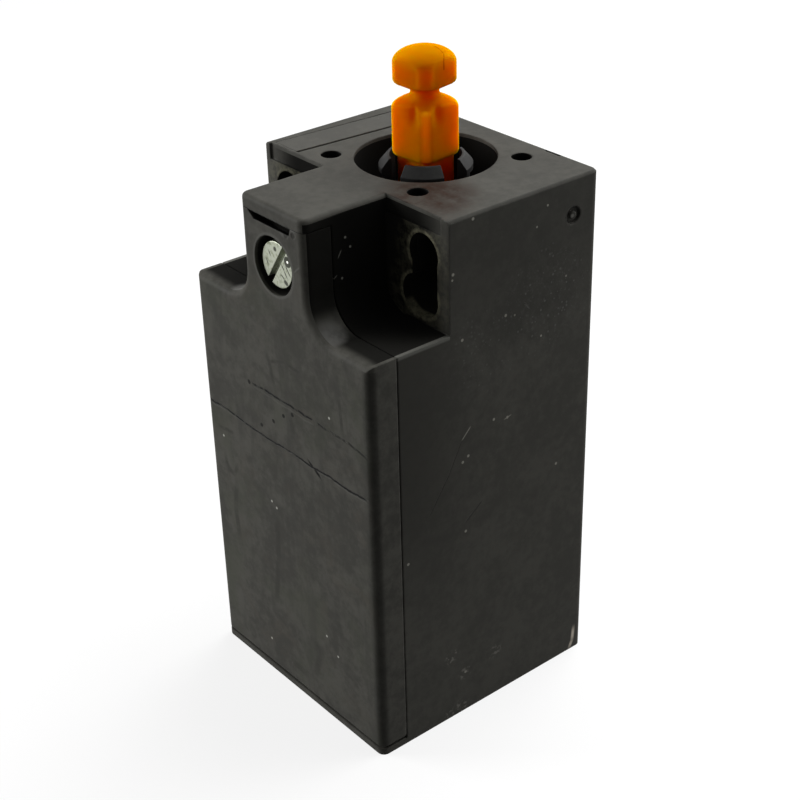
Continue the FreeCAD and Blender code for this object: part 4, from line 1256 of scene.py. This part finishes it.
@dataclass
class Spring:
    """Coil of round wire with closed ends."""

    node: str
    wire: float
    turns: int
    lower_body: Body
    upper_body: Body
    steps: int = 40
    sides: int = 10

    def build(self, dresser: Dresser) -> None:
        """Winds the coil in the CAD coil's box and hides the CAD coil.

        Args:
            dresser: maker of the piece.
        """
        (_, _, bottom), (radius, _, top) = box_mm(self.node)
        shape = bmesh.new()
        half = self.wire / 2
        start = Matrix.Translation(mm(radius - half, AXIS_Y, bottom + half))
        bmesh.ops.create_circle(shape, segments=self.sides, radius=half * MM,
                                matrix=start @ Matrix.Rotation(math.pi / 2, 4, "X"))
        pitch = (top - bottom - 3 * self.wire) / self.turns
        edges = list(shape.edges)
        for turns, rise in ((1, self.wire), (self.turns, pitch), (1, self.wire)):
            wound = bmesh.ops.spin(
                shape, geom=edges, cent=mm(0, AXIS_Y, 0), axis=(0, 0, 1), dvec=mm(0, 0, rise / self.steps),
                angle=math.tau * turns, steps=self.steps * turns, use_duplicate=False)
            edges = [part for part in wound["geom_last"] if isinstance(part, bmesh.types.BMEdge)]
        close_ends(shape)
        bmesh.ops.remove_doubles(shape, verts=shape.verts, dist=WELD)
        coil = dresser.piece(shape, self.node + "_coil", SPRING, Slot.SPRING)
        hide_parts(self.node)
        mm(0, AXIS_Y, bottom)
        mm(0, AXIS_Y, top)
        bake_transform(coil)


@dataclass
class Plunger:
    """Square-headed plunger, a little turned in its guide, with soft grooves beside its rounded corners.

    A ring is a height, a half width across the flats and the radius that the corners are rounded to. The
    steps of a rounding are a rise and how far the flats and the corners are drawn in there.
    """

    stem: float = 2.2
    leg_flat: float = 2.35
    leg_round: float = 3.05
    leg_bottom: float = 58.2
    body_flat: float = 2.93
    body_round: float = 3.6
    body_bottom: float = 63.1
    body_levels: int = 24
    body_foot: tuple[Triple, ...] = ((0.0, 0.25, 0.5), (0.12, 0.08, 0.24), (0.3, 0.0, 0.08), (0.5, 0.0, 0.0))
    shoulder: float = 68.35
    shoulder_slope: tuple[Triple, ...] = (
        (0.2, 0.0, 0.03), (0.38, 0.0, 0.12), (0.53, 0.0, 0.28), (0.66, 0.0, 0.5), (0.82, 0.0, 0.85),
        (1.0, 0.0, 1.25), (1.18, 0.0, 1.6), (1.32, 0.0, 1.8), (1.45, 0.0, 1.93))
    neck: float = 1.57
    neck_drops: tuple[float, float] = (1.2, 0.9)
    collar_drop: float = 0.7
    collar_swell: float = 0.2
    head_flat: float = 2.95
    head_round: float = 3.42
    head_bottom: float = 71.25
    head_foot: tuple[Triple, ...] = ((-0.08, 0.1, 0.3), (0.06, 0.03, 0.1), (0.25, 0.0, 0.0))
    head_rises: tuple[float, ...] = (0.5, 1.0, 1.5, 1.95)
    dome_foot: float = 73.3
    dome_levels: int = 24
    tip: float = 75.02
    groove_depth: float = 0.45
    groove_aside: float = 1.1
    groove_steep: float = 0.5
    groove_gentle: float = 0.8
    groove_foot: float = 66.3
    groove_drop: float = 1.3
    segments: int = 144
    crispness: float = 80.0

    def rings(self) -> list[Triple]:
        """All rings from the foot up.

        Returns:
            Height, half width and corner radius of each ring.
        """
        foot = box_mm("plunger")[0][2]
        body = (self.body_flat, self.body_round)
        head = (self.head_flat, self.head_round)
        rings = [(height, self.stem, self.stem) for height in (foot, self.leg_bottom)]
        rings += [(height, self.leg_flat, self.leg_round) for height in (self.leg_bottom, self.body_bottom)]
        rings += self.rounding(self.body_bottom, *body, self.body_foot)
        start = self.body_bottom + self.body_foot[-1][0]
        rise = (self.shoulder - start) / self.body_levels
        rings += [(start + rise * level, *body) for level in range(1, self.body_levels + 1)]
        rings += self.rounding(self.shoulder, *body, self.shoulder_slope)
        rings += [(self.head_bottom - drop, self.neck, self.neck) for drop in self.neck_drops]
        rings += [(self.head_bottom - self.collar_drop, self.head_flat, self.neck + self.collar_swell)]
        rings += self.rounding(self.head_bottom, *head, self.head_foot)
        rings += [(self.head_bottom + rise, *head) for rise in self.head_rises]
        return rings + self.dome()

    @staticmethod
    def rounding(height: float, flat: float, round_to: float, steps: tuple[Triple, ...]) -> list[Triple]:
        """Rings of an edge that is rounded in steps."""
        return [(height + rise, flat - flats, round_to - corners) for rise, flats, corners in steps]

    def dome(self) -> list[Triple]:
        """Rings of the crown, a quarter of an ellipse.

        Returns:
            Height, half width and corner radius of each ring.
        """
        rise = self.tip - self.dome_foot
        levels = range(1, self.dome_levels + 1)
        angles = [math.pi / 2 * (1 - level / (self.dome_levels + 0.5)) for level in levels]
        return [(self.dome_foot + rise * math.cos(angle), self.head_flat, self.head_round * math.sin(angle))
                for angle in angles]

    def reach(self, angle: float, height: float, flat: float, round_to: float) -> float:
        """Distance of the surface from the axis.

        Args:
            angle: direction in plan, in radians.
            height: height in millimetres.
            flat: half width across the flats there.
            round_to: radius that the corners are rounded to.

        Returns:
            The distance in millimetres.
        """
        quarter = math.pi / 2
        aside = (angle - math.radians(PLUNGER_TURN) + quarter / 2) % quarter - quarter / 2
        along = flat * math.tan(aside)
        if self.groove_foot < height < self.head_bottom - self.groove_drop:
            share = min(1.0, (height - self.groove_foot) / (self.shoulder - self.groove_foot))
            depth = self.groove_depth * share * share * (3 - 2 * share)
            face = round((angle - math.radians(PLUNGER_TURN) - aside) / quarter)
            offset = (along if face % 2 else -along) - self.groove_aside
            width = self.groove_steep if offset > 0 else self.groove_gentle
            flat -= depth * math.exp(-(offset / width) ** 2)
        power = -self.crispness
        return ((flat / math.cos(aside)) ** power + round_to ** power) ** (1 / power)

    def build(self, dresser: Dresser) -> None:
        """Raises the plunger ring by ring and hides the CAD plunger.

        Args:
            dresser: maker of the piece.
        """
        shape = bmesh.new()
        axis = Vector(mm(0, AXIS_Y, 0))
        bmesh.ops.create_circle(shape, segments=self.segments, radius=self.stem * MM,
                                matrix=Matrix.Translation(axis))
        ring = list(shape.edges)
        for number, (height, flat, round_to) in enumerate(self.rings()):
            if number:
                grown = bmesh.ops.extrude_edge_only(shape, edges=ring)["geom"]
                ring = [part for part in grown if isinstance(part, bmesh.types.BMEdge) and part.is_boundary]
            for corner in {corner for edge in ring for corner in edge.verts}:
                angle = math.atan2(corner.co.y - axis.y, corner.co.x)
                reach = self.reach(angle, height, flat, round_to)
                corner.co = axis + Vector(mm(reach * math.cos(angle), reach * math.sin(angle), height))
        close_ends(shape)
        piece = dresser.piece(shape, "turned_plunger", ORANGE, Slot.ORANGE, Body.PLUNGER)
        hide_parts("plunger")


@dataclass
class Thread:
    """Sharp ridge that winds round a bore or a shank."""

    name: str
    start: Triple
    axis: Triple
    root: float
    crest: float
    pitch: float
    turns: int
    half_share: float = 0.42
    steps: int = 48

    def build(self, dresser: Dresser, finish: Finish, body: Body, slot: Slot) -> None:
        """Winds the ridge and sets it on its body.

        Args:
            dresser: maker of the piece.
            finish: the finish it wears.
            body: the body it rides on.
            slot: the record's slot of that finish.
        """
        along = Vector(self.axis)
        outward = along.orthogonal().normalized()
        centre = Vector(self.start)
        half = self.half_share * self.pitch * along
        root = centre + outward * self.root
        shape = bmesh.new()
        profile = (root - half, centre + outward * self.crest, root + half)
        corners = [shape.verts.new(point * MM) for point in profile]
        edges = [shape.edges.new((corners[i], corners[i - 1])) for i in range(3)]
        bmesh.ops.spin(
            shape, geom=corners + edges, cent=centre * MM, axis=along,
            dvec=along * self.pitch * MM / self.steps, angle=math.tau * self.turns,
            steps=self.steps * self.turns, use_duplicate=False)
        close_ends(shape)
        dresser.piece(shape, self.name, finish, slot, body, smooth=False)


@dataclass
class PhotoCamera:
    """Camera where the photograph was taken: its place in millimetres and its three directions."""

    place: Triple = (125.84, -101.14, 125.74)
    right: Triple = (0.63806, 0.76964, -0.02291)
    down: Triple = (0.36710, -0.33022, -0.86959)
    ahead: Triple = (-0.67684, 0.54645, -0.49323)
    lens: float = 72.34
    sensor: float = 36.0
    nearest: float = 0.005
    farthest: float = 20.0

    def build(self) -> None:
        """Makes the camera and sets it as the scene's."""
        data = bpy.data.cameras.new("photo_camera")
        data.lens = self.lens
        data.sensor_width = self.sensor
        data.clip_start = self.nearest
        data.clip_end = self.farthest
        camera = bpy.data.objects.new("photo_camera", data)
        columns = Matrix((self.right, -Vector(self.down), -Vector(self.ahead))).transposed()
        camera.matrix_world = Matrix.Translation(mm(*self.place)) @ columns.to_4x4()
        bpy.context.scene.collection.objects.link(camera)
        bpy.context.scene.camera = camera


@dataclass(frozen=True)
class Lamp:
    """Soft square lamp aimed at the switch, in metres and watts."""

    name: str
    towards: Triple
    distance: float
    size: float
    power: float

    def build(self) -> None:
        """Hangs the lamp."""
        data = bpy.data.lights.new(self.name, "AREA")
        data.shape = "SQUARE"
        data.size = self.size
        data.energy = self.power
        lamp = bpy.data.objects.new(self.name, data)
        centre = Vector(mm(0, 0, HEIGHT / 2))
        direction = Vector(self.towards).normalized()
        lamp.location = centre + direction * self.distance
        lamp.rotation_mode = "QUATERNION"
        lamp.rotation_quaternion = (-direction).to_track_quat("-Z", "Y")
        bpy.context.scene.collection.objects.link(lamp)


@dataclass
class Stage:
    """White floor, white surroundings and soft lamps."""

    floor_half: float = 1.5
    floor_colour: float = 0.2
    floor_glow: float = 0.8
    sky: float = 0.12
    lamps: tuple[Lamp, ...] = (
        Lamp("key", towards=(-0.75, -0.62, 0.28), distance=0.5, size=0.25, power=2.55),
        Lamp("overhead", towards=(0.0, 0.6, 0.8), distance=0.35, size=0.36, power=1.95),
        Lamp("side", towards=(0.5, 0.85, 0.2), distance=0.2, size=0.08, power=0.066))

    def build(self) -> None:
        """Lays the floor, sets the world and hangs the lamps."""
        self.floor()
        self.world()
        for lamp in self.lamps:
            lamp.build()
        bpy.context.scene.view_settings.view_transform = "Standard"

    def floor(self) -> None:
        """A wide white floor that keeps the shadow."""
        shape = bmesh.new()
        bmesh.ops.create_grid(shape, x_segments=1, y_segments=1, size=self.floor_half)
        data = bpy.data.meshes.new("floor")
        shape.to_mesh(data)
        shape.free()
        material = bpy.data.materials.new("white_floor")
        material.use_nodes = True
        graph = Graph(material.node_tree, "ShaderNodeOutputMaterial")
        paper = graph.node("ShaderNodeBsdfDiffuse", None, {"Color": (self.floor_colour,) * 3 + (1.0,)})
        glow = graph.node("ShaderNodeEmission", None, {"Strength": self.seen(graph) * self.floor_glow})
        graph.surface(graph.node("ShaderNodeAddShader", None, {0: paper.outputs[0], 1: glow.outputs[0]}))
        data.materials.append(material)
        floor = bpy.data.objects.new("floor", data)
        bpy.context.scene.collection.objects.link(floor)

    @staticmethod
    def seen(graph: Graph) -> Shade:
        """1 for rays from the camera, a mirror or glass.

        Args:
            graph: the node tree to read the rays in.

        Returns:
            The mask.
        """
        path = graph.node("ShaderNodeLightPath")
        kinds = ("Is Camera Ray", "Is Glossy Ray", "Is Transmission Ray")
        return largest(Shade(graph, path.outputs[kind]) for kind in kinds)

    def world(self) -> None:
        """White where it is seen, dim where it only lights."""
        world = bpy.data.worlds.new("surroundings")
        world.use_nodes = True
        bpy.context.scene.world = world
        graph = Graph(world.node_tree, "ShaderNodeOutputWorld")
        strength = self.seen(graph) * (1.0 - self.sky) + self.sky
        white = (1.0, 1.0, 1.0, 1.0)
        graph.surface(graph.node("ShaderNodeBackground", None, {"Color": white, "Strength": strength}))


SPRINGS = (
    Spring("return_spring", wire=0.5, turns=5, lower_body=Body.BASE, upper_body=Body.PLUNGER),
    Spring("nc_spring", wire=0.34, turns=4, lower_body=Body.PLUNGER, upper_body=Body.NC_BRIDGE),
    Spring("no_spring", wire=0.34, turns=4, lower_body=Body.NO_BRIDGE, upper_body=Body.PLUNGER))
ENTRY_THREAD = Thread("entry_thread", start=(0.0, 0.0, 1.3), axis=(0.0, 0.0, 1.0), root=9.4, crest=8.9,
                      pitch=1.5, turns=4)
SCREW_THREAD = Thread("screw_thread", start=(0.0, -12.3, SCREW_HEIGHT), axis=(0.0, 1.0, 0.0), root=1.45,
                      crest=1.82, pitch=0.7, turns=3)


def main() -> None:
    """Builds the looks around the frame."""
    logging.basicConfig(level=logging.INFO, format="%(message)s")
    PhotoCamera().build()
    Stage().build()
    dresser = Dresser()
    for name, finish in NODE_FINISHES.items():
        dresser.node(name, finish)
    for spring in SPRINGS:
        spring.build(dresser)
    Plunger().build(dresser)
    ENTRY_THREAD.build(dresser, BLACK, Body.BASE, Slot.BLACK)
    SCREW_THREAD.build(dresser, STEEL, Body.SCREW, Slot.STEEL)


if __name__ == "__main__":
    main()
